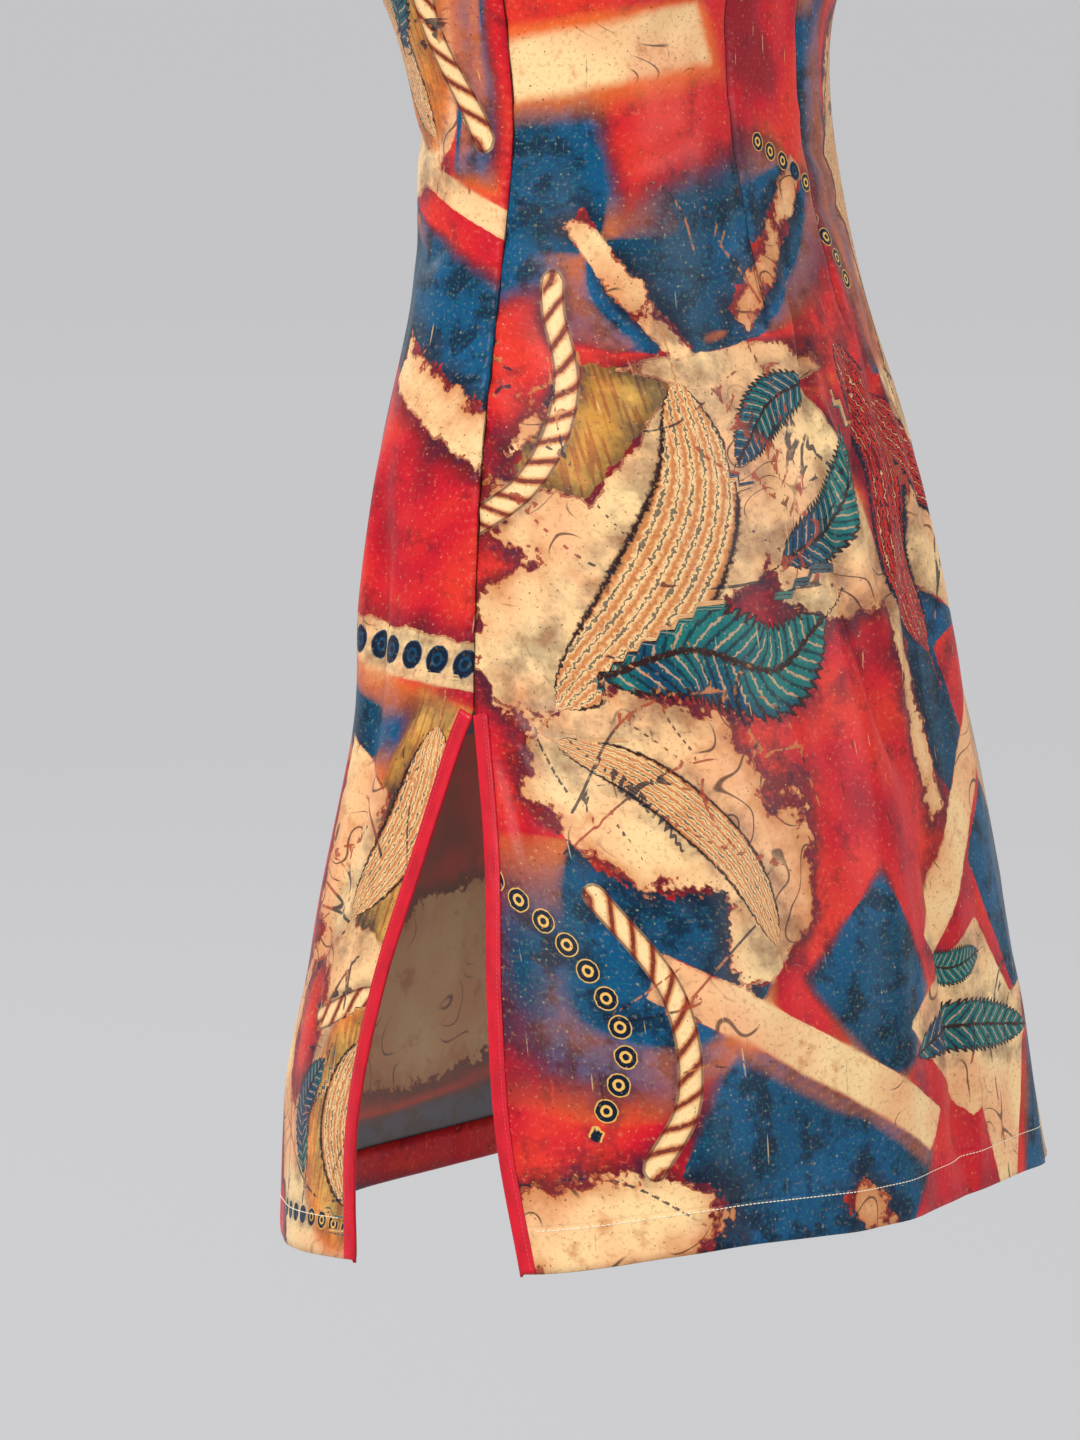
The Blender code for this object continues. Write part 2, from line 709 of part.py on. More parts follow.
def add_frog(number, place):
    """A knot with its cord, and the loop that holds it. place(run, aside) gives the surface's point
    and outward direction at a distance run from the knot, towards the loop's end, and aside."""

    def at(run, aside, level):
        point, normal = place(run, aside)
        return point + normal * level

    seat = CLOTH / 2 + SEAM_GAP + CORD_RADIUS
    low = seat + TAPE + CURVED_SLACK
    high = low + KNOT_RADIUS
    knot = (
        # run, level, radius
        (-FROG_REACH, seat, 0.85 * CORD_RADIUS),
        (-0.7 * FROG_REACH, low, CORD_RADIUS),
        (-0.4 * FROG_REACH, low, CORD_RADIUS),
        (-0.30 * KNOT_RADIUS, low, CORD_RADIUS),
        (0.0, low + 0.10 * KNOT_RADIUS, CORD_RADIUS),
        (0.0, high - 0.75 * KNOT_RADIUS, 0.66 * KNOT_RADIUS),
        (0.0, high - 0.40 * KNOT_RADIUS, 0.92 * KNOT_RADIUS),
        (0.0, high, KNOT_RADIUS),
        (0.0, high + 0.40 * KNOT_RADIUS, 0.92 * KNOT_RADIUS),
        (0.0, high + 0.75 * KNOT_RADIUS, 0.66 * KNOT_RADIUS),
        (0.0, high + 0.98 * KNOT_RADIUS, 0.20 * KNOT_RADIUS),
    )
    points = [at(run, 0.0, level) for run, level, _ in knot]
    add_cord(f"frog_knot_{number}", points, [radius for _, _, radius in knot], CRIMSON)

    eye = KNOT_RADIUS + 4 * SEAM_GAP + CORD_RADIUS
    leg_aside = CORD_RADIUS + 2 * SEAM_GAP
    legs = ((0.97, seat), (0.68, low), (0.5, low))
    side = [(FROG_REACH * share, leg_aside, level) for share, level in legs]
    opening = math.asin(leg_aside / eye)
    turns = 10
    round_eye = []
    for step in range(turns + 1):
        turn = opening + (2 * math.pi - 2 * opening) * step / turns
        round_eye.append((eye * math.cos(turn), eye * math.sin(turn), high))
    back_side = [(run, -aside, level) for run, aside, level in reversed(side)]
    loop = [at(*spot) for spot in side + round_eye + back_side]
    add_cord(f"frog_loop_{number}", loop, [CORD_RADIUS] * len(loop), CRIMSON)


def opening_place(angle_deg):
    """Places on the form about a point of the opening, square to its line."""
    across = angle_deg / 90
    start = form_spot(*opening_line(across))
    beside = form_spot(*opening_line(across + 0.02))
    along = Vector((beside.x - start.x, beside.z - start.z)).normalized()
    down = Vector((along.y, -along.x))

    def place(run, aside):
        x = start.x + down.x * run + along.x * aside
        height = start.z + down.y * run + along.y * aside + HOLD_HEIGHT
        angle = angle_at(x, height)
        return form_point("front", angle, height), form_normal("front", angle, height)

    return place


def form_spot(angle, height):
    return form_point("front", angle, height)


def collar_place(grid):
    """Places across the gap between the collar's front ends, low on the collar."""
    level = 0.3
    low_row = [a.lerp(b, level) for a, b in zip(grid[0], grid[-1])]
    half = len(low_row) // 2
    line = low_row[half:0:-1] + low_row[:1] + low_row[: half - 1 : -1]
    middle = line_length(line[: half + 1]) + (low_row[0] - low_row[-1]).length / 2

    def place(run, aside):
        ahead = along_line(line, middle + run + KNOT_RADIUS)
        behind = along_line(line, middle + run - KNOT_RADIUS)
        along = (ahead - behind).normalized()
        level_out = along.cross(Vector((0, 0, 1))).normalized()
        normal = along.cross(Vector((0, 0, 1)) - level_out * COLLAR_LEAN).normalized()
        return (ahead + behind) / 2 + normal.cross(along) * aside, normal

    return place


# ---------------------------------------------------------------- the dress


def build():
    front = panel_grid("front", front_top)
    back = panel_grid("back", back_top)
    underlap = underlap_grid()
    collar = collar_grid()
    last = PANEL_COLUMNS
    add_wall("front_panel", front, False, RED_PRINT)
    add_wall("back_panel", back, True, TEAL_PRINT)
    add_wall("front_underlap", underlap, False, SAND)
    add_wall("collar", collar, True, TEAL_PRINT)

    front_surface = surface_of(front)
    back_surface = surface_of(back)
    for hand, column in (("right", 0), ("left", last)):
        for side, grid, surface in (("front", front, front_surface), ("back", back, back_surface)):
            edge = slit_edge(grid, column, side == "back")
            inward = grid[0][column + (1 if column == 0 else -1)] - grid[0][column]
            add_binding(f"slit_binding_{side}_{hand}", edge_stations(surface, edge, inward))

    top = len(front) - 1
    opening = [(front[top][c], grid_normal(front, top, c, False)) for c in range(last // 2 + 1)]
    opening[0] = (opening[0][0].lerp(opening[1][0], 0.05), opening[0][1])
    opening = edge_stations(front_surface, divided(opening, 3), Vector((0, 0, -1)))
    add_binding("opening_binding", opening, CURVED_SLACK)

    right_edge = armhole_edge(underlap, back, 0, 0, UNDERLAP_LOW_ROWS)
    left_edge = armhole_edge(front, back, last, last, len(front) - 1 - UPPER_ROWS)
    for hand, edge, grid in (("right", right_edge, underlap), ("left", left_edge, front)):
        edge = divided(edge, 2, closed=True)
        down = Vector((0, 0, -1))
        width = ARMHOLE_BINDING_WIDTH
        stations = edge_stations(surface_of(grid, back), edge, down, width, closed=True)
        add_binding(f"armhole_binding_{hand}", stations, ARMHOLE_SLACK, closed=True)

    add_binding("collar_binding", collar_stations(collar))

    add_frog(1, collar_place(collar))
    for number, angle in enumerate(FROG_ANGLES, start=2):
        add_frog(number, opening_place(angle))


clear_scene()
DRESS = new_collection("cheongsam_dress")
build()
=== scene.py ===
# %% [markdown]
# # A printed satin cheongsam
# The dress is sleeveless and knee-length, and it stands in the hollow form that it has when it is
# worn. A maker cuts two big panels, a small under-front and a stand collar, sews them together and
# binds the open edges with crimson tape. This lesson builds each of them as a thin shell on the
# construction model's own form, and gives each a finish that is worked out from its cut.

import math
from functools import partialmethod

import bpy
import numpy as np
from mathutils import Matrix, Vector
from mathutils.bvhtree import BVHTree


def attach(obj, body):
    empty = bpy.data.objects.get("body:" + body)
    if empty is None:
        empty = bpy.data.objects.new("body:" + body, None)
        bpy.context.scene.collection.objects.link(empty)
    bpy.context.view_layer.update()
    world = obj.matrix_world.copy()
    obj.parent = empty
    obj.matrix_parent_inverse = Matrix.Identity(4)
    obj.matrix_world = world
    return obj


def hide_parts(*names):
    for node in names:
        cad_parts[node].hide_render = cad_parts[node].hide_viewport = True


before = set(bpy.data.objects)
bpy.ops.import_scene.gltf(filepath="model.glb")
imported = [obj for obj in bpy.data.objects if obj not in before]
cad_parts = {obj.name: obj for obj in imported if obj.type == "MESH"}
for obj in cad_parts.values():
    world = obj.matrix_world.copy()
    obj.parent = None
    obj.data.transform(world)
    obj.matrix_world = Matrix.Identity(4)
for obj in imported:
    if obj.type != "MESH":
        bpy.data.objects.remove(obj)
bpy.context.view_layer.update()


def new_object(name, data):
    made = bpy.data.objects.new(name, data)
    bpy.context.scene.collection.objects.link(made)
    return made


def new_mesh(name, points, faces):
    mesh = bpy.data.meshes.new(name)
    mesh.from_pydata(points, [], faces)
    mesh.shade_smooth()
    return mesh


def thicken(made, thickness):
    """Gives a sheet its thickness, half to each side."""
    wall = made.modifiers.new("wall", "SOLIDIFY")
    wall.thickness = thickness
    wall.offset = 0.0
    return wall


print("nodes to dress:", len(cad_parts))

# %% [markdown]
# ## Camera
# A long lens far away keeps the skirt's lines nearly parallel, as in a shop's close view. A wide
# lens close by would swell the hem and shrink the waist. The camera looks slightly down at the
# wearer's right side.

# %% Camera
CAMERA_PLACE = Vector((-2.4186, -1.4559, -0.370))
CAMERA_AIM = Vector((0.8573, 0.5001, -0.1227))
CAMERA_YAW = math.radians(1.39)  # how far it then turns to its left
SENSOR = 36.0
LENS = 181.6
NOISE_LIMIT = 0.02  # a part of the picture that is this smooth gets no more rays

lens = bpy.data.cameras.new("camera")
lens.sensor_fit = "HORIZONTAL"
lens.sensor_width = SENSOR
lens.lens = LENS
camera = new_object("camera", lens)
aim = CAMERA_AIM.to_track_quat("-Z", "Y").to_matrix().to_4x4()
camera.matrix_world = Matrix.Translation(CAMERA_PLACE) @ aim @ Matrix.Rotation(CAMERA_YAW, 4, "Y")
bpy.context.scene.camera = camera
bpy.context.scene.view_settings.view_transform = "Standard"
bpy.context.scene.cycles.adaptive_threshold = NOISE_LIMIT
print("camera at", tuple(round(x, 3) for x in CAMERA_PLACE))


# %% [markdown]
# ## Wires: arithmetic that builds a material
# A material is a small program. Instead of placing its nodes by hand, one class wraps a socket and
# turns Python's arithmetic into Math nodes, so a formula reads like a formula.

# %% A wrapped socket
class Wire:
    """A number that varies over a surface. Arithmetic on it adds the nodes that work it out."""

    def __init__(self, finish, socket):
        self.finish = finish
        self.socket = socket

    def math(self, operation, *others, first=None):
        values = [self if first is None else first]
        values += [self] if first is not None else []
        values += others
        return self.finish.node("ShaderNodeMath", {"operation": operation}, dict(enumerate(values)))

    def __rsub__(self, other):
        return self.math("SUBTRACT", first=other)

    def soft(self, low, high):
        """0 below low, 1 above high and a smooth slope between them."""
        kind = {"interpolation_type": "SMOOTHSTEP"}
        return self.finish.node("ShaderNodeMapRange", kind, {0: self, 1: low, 2: high})


OPERATIONS = {
    "__add__": "ADD", "__radd__": "ADD", "__sub__": "SUBTRACT", "__mul__": "MULTIPLY",
    "__rmul__": "MULTIPLY", "__truediv__": "DIVIDE", "__pow__": "POWER", "__abs__": "ABSOLUTE",
    "__gt__": "GREATER_THAN", "__lt__": "LESS_THAN", "lower": "MINIMUM", "higher": "MAXIMUM",
    "sine": "SINE", "fraction": "FRACT",
}
for method, operation in OPERATIONS.items():
    setattr(Wire, method, partialmethod(Wire.math, operation))
print("operations of a wire:", len(OPERATIONS))


# %% The finish that a wire belongs to
class Finish:
    """A material, and the one way its nodes are made."""

    def __init__(self, name):
        self.material = bpy.data.materials.new(name)
        self.material.use_nodes = True
        self.tree = self.material.node_tree
        self.tree.nodes.clear()

    def node(self, kind, settings=None, inputs=None, out=0):
        made = self.tree.nodes.new(kind)
        for name, value in (settings or {}).items():
            setattr(made, name, value)
        for name, value in (inputs or {}).items():
            socket = made.inputs[name]
            if isinstance(value, Wire):
                self.tree.links.new(value.socket, socket)
            else:
                socket.default_value = value
        return Wire(self, made.outputs[out]) if len(made.outputs) else None

    def mix(self, share, low, high):
        kind = {"data_type": "RGBA"}
        low = (*low, 1.0) if isinstance(low, tuple) else low
        high = (*high, 1.0) if isinstance(high, tuple) else high
        return self.node("ShaderNodeMix", kind, {0: share, 6: low, 7: high}, out=2)

    def parts(self, vector):
        """The three numbers of a vector."""
        made = self.node("ShaderNodeSeparateXYZ", None, {0: vector})
        return [made, self.other(made, 1), self.other(made, 2)]

    def other(self, wire, out):
        """Another output of the node that a wire comes from."""
        return Wire(self, wire.socket.node.outputs[out])

    def vector(self, x=0.0, y=0.0, z=0.0):
        return self.node("ShaderNodeCombineXYZ", None, {0: x, 1: y, 2: z})

    def noise(self, place, scale, detail=3.0, rough=0.5):
        values = {"Vector": place, "Scale": scale, "Detail": detail, "Roughness": rough}
        return self.node("ShaderNodeTexNoise", None, values)

    def end(self, colour, roughness, bump=None, depth=0.001, **constants):
        """Closes the finish with one Principled shader."""
        values = {"Base Color": colour, "Roughness": roughness, **constants}
        if bump is not None:
            height = {"Strength": 1.0, "Distance": depth, "Height": bump}
            values["Normal"] = self.node("ShaderNodeBump", None, height)
        shader = self.node("ShaderNodeBsdfPrincipled", None, values)
        self.node("ShaderNodeOutputMaterial", None, {"Surface": shader})
        return self.material


def linear(code):
    """A web colour such as D0313A as the three linear numbers that a shader takes."""
    shades = [int(code[i : i + 2], 16) / 255 for i in (0, 2, 4)]
    return tuple(s / 12.92 if s <= 0.04045 else ((s + 0.055) / 1.055) ** 2.4 for s in shades)


print("linear crimson", [round(c, 3) for c in linear("C8202F")])

# %% [markdown]
# ## Stage and light
# A studio's paper backdrop curves up behind the dress. A bent sheet would serve one view; a wide
# round floor whose rim curves up all the way round has no horizon from any side. Three soft lamps
# and an even sky light the satin, because small lamps would leave hard spots on it.

# %% Floor and backdrop
FLOOR_LEVEL = -1.42
FLOOR_REACH = 14.0
RIM_RADIUS = 5.0
WALL_HEIGHT = 12.0
RIM_STEPS = 12
FLOOR_SIDES = 96


def dish():
    """A round floor with a curved rim and a wall, as one smooth surface."""
    profile = [(0.0, 0.0), (FLOOR_REACH, 0.0)]
    for turn in np.linspace(0, math.pi / 2, RIM_STEPS + 1)[1:]:
        out, up = RIM_RADIUS * math.sin(turn), RIM_RADIUS * (1 - math.cos(turn))
        profile.append((FLOOR_REACH + out, up))
    profile.append((FLOOR_REACH + RIM_RADIUS, RIM_RADIUS + WALL_HEIGHT))
    turns = [2 * math.pi * step / FLOOR_SIDES for step in range(FLOOR_SIDES)]
    points = [
        (radius * math.cos(turn), radius * math.sin(turn), FLOOR_LEVEL + height)
        for radius, height in profile
        for turn in turns
    ]
    faces = []
    for ring in range(len(profile) - 1):
        low, high = ring * FLOOR_SIDES, (ring + 1) * FLOOR_SIDES
        for step in range(FLOOR_SIDES):
            after = (step + 1) % FLOOR_SIDES
            faces.append((low + step, low + after, high + after, high + step))
    return new_object("floor", new_mesh("floor", points, faces))


floor = dish()
paper = Finish("backdrop_paper")
GLOW = {"Emission Color": (*linear("C6C6C8"), 1.0), "Emission Strength": 0.90}
floor.data.materials.append(paper.end((*linear("474849"), 1.0), 0.95, **GLOW))
paper.material.cycles.emission_sampling = "NONE"  # its glow is even, so no ray has to look for it
print("floor faces:", len(floor.data.polygons))


# %% Lamps and sky
def lamp(name, place, target, size, watts):
    """A square soft lamp that faces a target."""
    light = bpy.data.lights.new(name, "AREA")
    light.size = size
    light.energy = watts
    made = new_object(name, light)
    made.location = place
    made.rotation_euler = (Vector(target) - Vector(place)).to_track_quat("-Z", "Y").to_euler()


DRESS_MIDDLE = (0.0, 0.0, -0.6)
SKY_STRENGTH = 0.36
lamp("key", (-3.2, 0.5, 1.7), DRESS_MIDDLE, 1.2, 136)
lamp("fill", (0.4, -3.6, 0.4), DRESS_MIDDLE, 1.8, 60)
lamp("back", (1.5, 3.0, 1.5), DRESS_MIDDLE, 2.6, 60)
sky = bpy.data.worlds.new("sky")
sky.use_nodes = True
glow = sky.node_tree.nodes["Background"].inputs
glow["Color"].default_value = (1.0, 1.0, 1.0, 1.0)
glow["Strength"].default_value = SKY_STRENGTH
bpy.context.scene.world = sky

# %% [markdown]
# ## The form
# Every panel lies on one hollow form: a stack of rounded sections, each wider than deep. A place
# on it is a side, an angle from the centre line (-90 degrees is the wearer's right seam) and a
# height above the hem. A cloth simulation could drape the cut instead, but it would leave the
# construction's shape. The tables repeat the construction's sizes, so the shells fit its solids.

# %% Sizes of the form, in metres
HOLD_HEIGHT = 0.975
UNDERARM_HEIGHT = 0.765
BUST_HEIGHT = 0.735
WAIST = 0.565
SHOULDER_DROP = 0.034
SHOULDER_RUN = 0.093
SLIT_TOP = 0.278
SLIT_TOP_STEP = 0.004
OPENING_END = 0.712
OPENING_SWEEP = 1.6
OPENING_OVERLAP = 0.025
OPENING_RISE = 0.018
NECK_HALF_WIDTH = 0.062
NECK_ACROSS = 6 / 14
FRONT_NECK_DROP = 0.068
BACK_NECK_DROP = 0.020
SECTION_POWER = 2.5
SHOULDER_POWER = 2.2
ARMHOLE_REACH = 0.58
ARMHOLE_CURVE = 0.4
SEAM_GAP = 0.0003
TAPE_ROOM = 0.0011  # what a slit's edge keeps free for its folded tape
UNDERLAP_DEPTH = 0.0043

SECTION_COLUMNS = ("height", "half_width", "front_depth", "back_depth", "seam_y", "turn_deg")
SECTIONS = (
    (-0.010, 0.2210, 0.1170, 0.2260, -0.090, -4.0),
    (0.000, 0.2200, 0.1176, 0.2245, -0.088, -3.6),
    (0.145, 0.1970, 0.1400, 0.1792, -0.0545, -1.5),
    (0.278, 0.1675, 0.1346, 0.1355, -0.0387, -3.2),
    (0.395, 0.1506, 0.1232, 0.1168, -0.0282, -1.7),
    (0.485, 0.1331, 0.0932, 0.0991, -0.0276, -1.6),
    (0.565, 0.1236, 0.0740, 0.1027, -0.0294, -1.4),
    (0.625, 0.1285, 0.0737, 0.1140, -0.0263, -0.8),
    (0.705, 0.1380, 0.0900, 0.1215, -0.0200, 0.0),
    (0.765, 0.1500, 0.1040, 0.1200, -0.0150, 0.0),
    (0.850, 0.1620, 0.1040, 0.1130, -0.0060, 0.0),
    (0.941, 0.1750, 0.0980, 0.1080, 0.0000, 0.0),
    (0.990, 0.1800, 0.0950, 0.1060, 0.0000, 0.0),
)
HEM_COLUMNS = ("across", "front", "back")
HEM = (
    (-1.00, 0.0140, 0.0055),
    (-0.50, 0.0255, -0.0060),
    (-0.10, 0.0210, -0.0060),
    (0.20, 0.0215, -0.0040),
    (0.50, 0.0180, -0.0020),
    (1.00, 0.0020, 0.0000),
)
SLIT_COLUMNS = ("drop", "front_right", "back_right", "front_left", "back_left")
SLITS = (
    (0.00, 0.0, 0.0, 0.0, 0.0),
    (0.25, 1.5, 7.2, 2.2, 5.0),
    (0.50, 1.2, 14.9, 3.6, 10.5),
    (0.75, 1.6, 20.1, 4.4, 15.0),
    (1.00, 5.2, 20.0, 5.6, 17.0),
)
FOLD_COLUMNS = ("side", "top_deg", "foot_deg", "top", "foot", "rise", "width")
FOLDS = (
    ("front", -9.0, -4.0, 0.56, -0.02, 0.0050, 0.016),
    ("front", 4.0, -15.0, 0.44, -0.02, 0.0030, 0.020),
    ("front", 24.0, 30.0, 0.50, -0.02, 0.0045, 0.018),
    ("front", 50.0, 55.0, 0.34, -0.02, 0.0040, 0.022),
    ("front", -52.0, -44.0, 0.20, -0.02, 0.0030, 0.030),
    ("back", -58.0, -28.0, 0.46, -0.02, 0.0045, 0.024),
    ("back", -12.0, -4.0, 0.36, -0.02, 0.0050, 0.026),
    ("back", 30.0, 22.0, 0.46, -0.02, 0.0050, 0.022),
    ("back", 58.0, 52.0, 0.32, -0.02, 0.0045, 0.026),
)
FOLD_FADE = 0.12
FOLD_EDGE = 0.25  # radians from a seam in which a fold dies away
print("sections:", len(SECTIONS), "main folds:", len(FOLDS))


# %% The form as functions of whole arrays
def table_value(rows, key, column):
    """A smooth value from a table's column, for an array of keys."""
    keys = np.array([row[0] for row in rows], float)
    values = np.array([row[column] for row in rows], float)
    key = np.clip(key, keys[0], keys[-1])
    place = np.clip(np.searchsorted(keys, key, side="right") - 1, 0, len(keys) - 2)
    low = np.maximum(np.arange(len(keys)) - 1, 0)
    high = np.minimum(np.arange(len(keys)) + 1, len(keys) - 1)
    slope = (values[high] - values[low]) / (keys[high] - keys[low])
    span = keys[place + 1] - keys[place]
    t = (key - keys[place]) / span
    return (
        (2 * t**3 - 3 * t**2 + 1) * values[place]
        + (t**3 - 2 * t**2 + t) * span * slope[place]
        + (3 * t**2 - 2 * t**3) * values[place + 1]
        + (t**3 - t**2) * span * slope[place + 1]
    )


def section(height, name):
    return table_value(SECTIONS, height, SECTION_COLUMNS.index(name))


def smooth(t):
    t = np.clip(t, 0.0, 1.0)
    return t * t * (3 - 2 * t)


def shoulder_height(x):
    return HOLD_HEIGHT - SHOULDER_DROP / SHOULDER_RUN * np.maximum(np.abs(x) - NECK_HALF_WIDTH, 0)


def closing(x, height):
    """1 up to the bust, then down to 0 on the line of the shoulder seam."""
    t = np.clip((height - BUST_HEIGHT) / (shoulder_height(x) - BUST_HEIGHT), 0, 1)
    return (1 - t**SHOULDER_POWER) ** (1 / SHOULDER_POWER)


def fold_rise(side, angle, height):
    rise = np.zeros(np.broadcast(angle, height).shape)
    radius = section(height, "half_width")
    for row in FOLDS:
        fold = dict(zip(FOLD_COLUMNS, row))
        if fold["side"] != side:
            continue
        down = (fold["top"] - height) / (fold["top"] - fold["foot"])
        middle = np.radians(fold["top_deg"] + (fold["foot_deg"] - fold["top_deg"]) * down)
        off = (angle - middle) * radius / fold["width"]
        here = (height <= fold["top"]) & (height >= fold["foot"])
        swell = fold["rise"] * smooth((fold["top"] - height) / FOLD_FADE) * np.exp(-off * off)
        rise = rise + np.where(here, swell, 0)
    return rise * smooth((math.pi / 2 - np.abs(angle)) / FOLD_EDGE)


def form_point(side, angle, height):
    power = 2 / SECTION_POWER
    facing = -1 if side == "front" else 1
    depth = facing * section(height, side + "_depth")
    x = section(height, "half_width") * np.sign(angle) * np.abs(np.sin(angle)) ** power
    y = depth * np.maximum(np.cos(angle), 0) ** power * closing(x, height)
    out = 1 + fold_rise(side, angle, height) / np.maximum(np.hypot(x, y), 0.01)
    turn = np.radians(section(height, "turn_deg"))
    turned_x = (x * np.cos(turn) - y * np.sin(turn)) * out
    turned_y = (x * np.sin(turn) + y * np.cos(turn)) * out
    level = height - HOLD_HEIGHT + 0 * turned_x
    return np.stack([turned_x, turned_y + section(height, "seam_y"), level], -1)


print("waist girth", round(4 * float(section(np.array(WAIST), "half_width")), 3), "m or so")

# %% Edges of the panels
SEAM_FROM = math.radians(60)  # where a panel begins to make room for its seam
SEAM_FADE = math.radians(25)


def armhole_angle(height):
    top = HOLD_HEIGHT - SHOULDER_DROP
    climb = np.clip((height - UNDERARM_HEIGHT) / (top - UNDERARM_HEIGHT), 0, 1)
    bend = np.minimum(climb / ARMHOLE_CURVE, 1)
    reach = ARMHOLE_REACH * np.sqrt(1 - (1 - bend) ** 2)
    return np.arccos(reach ** (SECTION_POWER / 2))


def angle_at(x, height):
    share = np.minimum(np.abs(x) / section(height, "half_width"), 1)
    return np.sign(x) * np.arcsin(share ** (SECTION_POWER / 2))


def neck_and_shoulder(across, neck_drop):
    """(angle, height) on a panel's top edge: round the neck, then out along the shoulder seam."""
    size = np.abs(across)
    tip = HOLD_HEIGHT - SHOULDER_DROP
    tip_x = form_point("front", armhole_angle(tip), np.array(tip))[..., 0]
    turn = np.minimum(size / NECK_ACROSS, 1) * math.pi / 2
    neck_x = NECK_HALF_WIDTH * np.sin(turn)
    run = (size - NECK_ACROSS) / (1 - NECK_ACROSS)
    seam_x = NECK_HALF_WIDTH + (tip_x - NECK_HALF_WIDTH) * run
    on_neck = size <= NECK_ACROSS
    x = np.where(on_neck, neck_x, seam_x)
    height = np.where(on_neck, HOLD_HEIGHT - neck_drop * np.cos(turn), shoulder_height(seam_x))
    return np.sign(across) * angle_at(x, height), height


def opening_line(across):
    """(angle, height) of the diagonal opening, from the side seam at -1 to the neck at 0."""
    angle = across * math.pi / 2
    neck = HOLD_HEIGHT - FRONT_NECK_DROP
    rise = np.maximum(np.cos(angle), 0) ** OPENING_SWEEP
    return angle, OPENING_END + (neck - OPENING_END) * rise


def front_top(across):
    opening = opening_line(across)
    neck = neck_and_shoulder(across, FRONT_NECK_DROP)
    return tuple(np.where(across < 0, a, b) for a, b in zip(opening, neck))


def underlap_top(across):
    return neck_and_shoulder(across, FRONT_NECK_DROP)


def back_top(across):
    return neck_and_shoulder(across, BACK_NECK_DROP)


def side_angle(side, across, height):
    drop = np.maximum((SLIT_TOP - height) / SLIT_TOP, 0)
    right = table_value(SLITS, drop, SLIT_COLUMNS.index(side + "_right"))
    left = table_value(SLITS, drop, SLIT_COLUMNS.index(side + "_left"))
    swing = np.where(across < 0, right, left) * (drop > 0)
    below = math.pi / 2 - np.radians(swing)
    return np.where(height >= UNDERARM_HEIGHT, armhole_angle(height), below)


def place_on_panel(side, across, height):
    """The angle of a panel's column at a height, with room at its edge for the seam or the tape."""
    bound = 1 - smooth((height - SLIT_TOP) / SLIT_TOP_STEP)
    gap = (0.1 * SEAM_GAP + bound * TAPE_ROOM) / section(height, side + "_depth")
    edge = side_angle(side, across, height)
    near_seam = smooth((edge - SEAM_FROM) / SEAM_FADE)
    return across * (edge - near_seam * gap ** (SECTION_POWER / 2))


for side in ("front", "back"):
    corners = np.degrees(side_angle(side, np.array([-1.0, 1.0]), np.zeros(2)))
    print(side, "ends at the hem, in degrees from its centre line:", corners.round(1))

# %% [markdown]
# ## Creases
# Worn satin isn't smooth: it breaks in soft troughs below the waist. Each crease is a short
# path, given in degrees round the form and metres up it, with a rise (or a trough, below
# zero) and a width, and no two are alike. Noise would be quicker, but it looks like crumpled paper.

# %% The creases
def table_rows(text):
    """The rows of a table that is written as text: words stay words, the rest are numbers."""
    rows = [line.split() for line in text.strip().splitlines()]
    return [[word if word.isalpha() else float(word) for word in row] for row in rows]


def in_pairs(numbers, scales=(1000.0, 1000.0)):
    return [(a / scales[0], b / scales[1]) for a, b in zip(numbers[::2], numbers[1::2])]


def read_creases(text):
    """(side, path, rise, width). The text gives degrees round the form and millimetres."""
    return [
        (side, in_pairs(path, (1.0, 1000.0)), rise / 1000, width / 1000)
        for side, rise, width, *path in table_rows(text)
    ]


# side, rise and width, then the path
CREASES = read_creases("""
front  -3.5    5  -1.7 508  -3 468  -7 435  -8.5 401
front  -4.2    7  -8 400  -6.5 330  -2.2 274  1.5 224
front  -4.8   10  1.5 240  3.5 173  5.2 70  6 0
front   2.9    8  -4 450  -4.5 400  -1.5 330  4 270
front  -2.9  4.5  8.5 455  4 420  -1 377
front   2.2    6  9.5 430  6 380  2 300  1.2 237
front  -2.9    5  15.5 450  12.5 410  6.7 355
front  -3.5    7  19 500  18 440  14 380  14 300
front  -3.2    7  26 470  23 400  24 330
front  -3.2   10  34 520  30 450  33 360  36 200
front  -1.9   14  -30 200  -27 120  -25 30
front  -1.8   15  -64 240  -58 160  -56 50
front  -1.4    9  -12 660  -30 615  -50 600
front  -1.6    8  -20 565  -45 545  -80 550
front   1.3    7  -24 530  -50 510  -76 520
front  -1.9    7  8 560  24 550  48 565
front  -1.6    6  8 530  22 520  40 530
front  -2.2    9  -74 790  -48 765  -30 755
front  -2.6    9  72 800  48 770  30 760
front  -1.6    8  60 860  44 820  30 800
front   1.6  2.6  -86.5 283  -80 270  -72 262
front   1.4  2.8  -86 276  -81 255  -77 232
front  -1.4  2.8  -86.5 270  -83.5 235  -81 205
front  -1.3  2.8  -85.5 290  -77 289  -70 296
back   -1.9    5  -83 300  -76 270  -66 250
back   -3.5    9  -60.4 430  -62 300  -60 180  -45 120
back   -2.2    8  -78 520  -60 500  -34 510
back   -2.2    8  -76 570  -56 555  -20 570
back   -3.8   12  -40 360  -36 220  -30 40
back   -4.2   13  6 400  10 240  8 20
back   -3.8   12  40 420  38 240  40 30
back   -2.2    8  20 570  48 555  80 570
back   -1.9    7  30 520  56 510  80 530
back   -1.6   11  -20 840  0 825  24 840
back   -2.2    9  74 800  52 765  36 740
back   -2.2    9  -74 800  -50 765  -30 745
""")
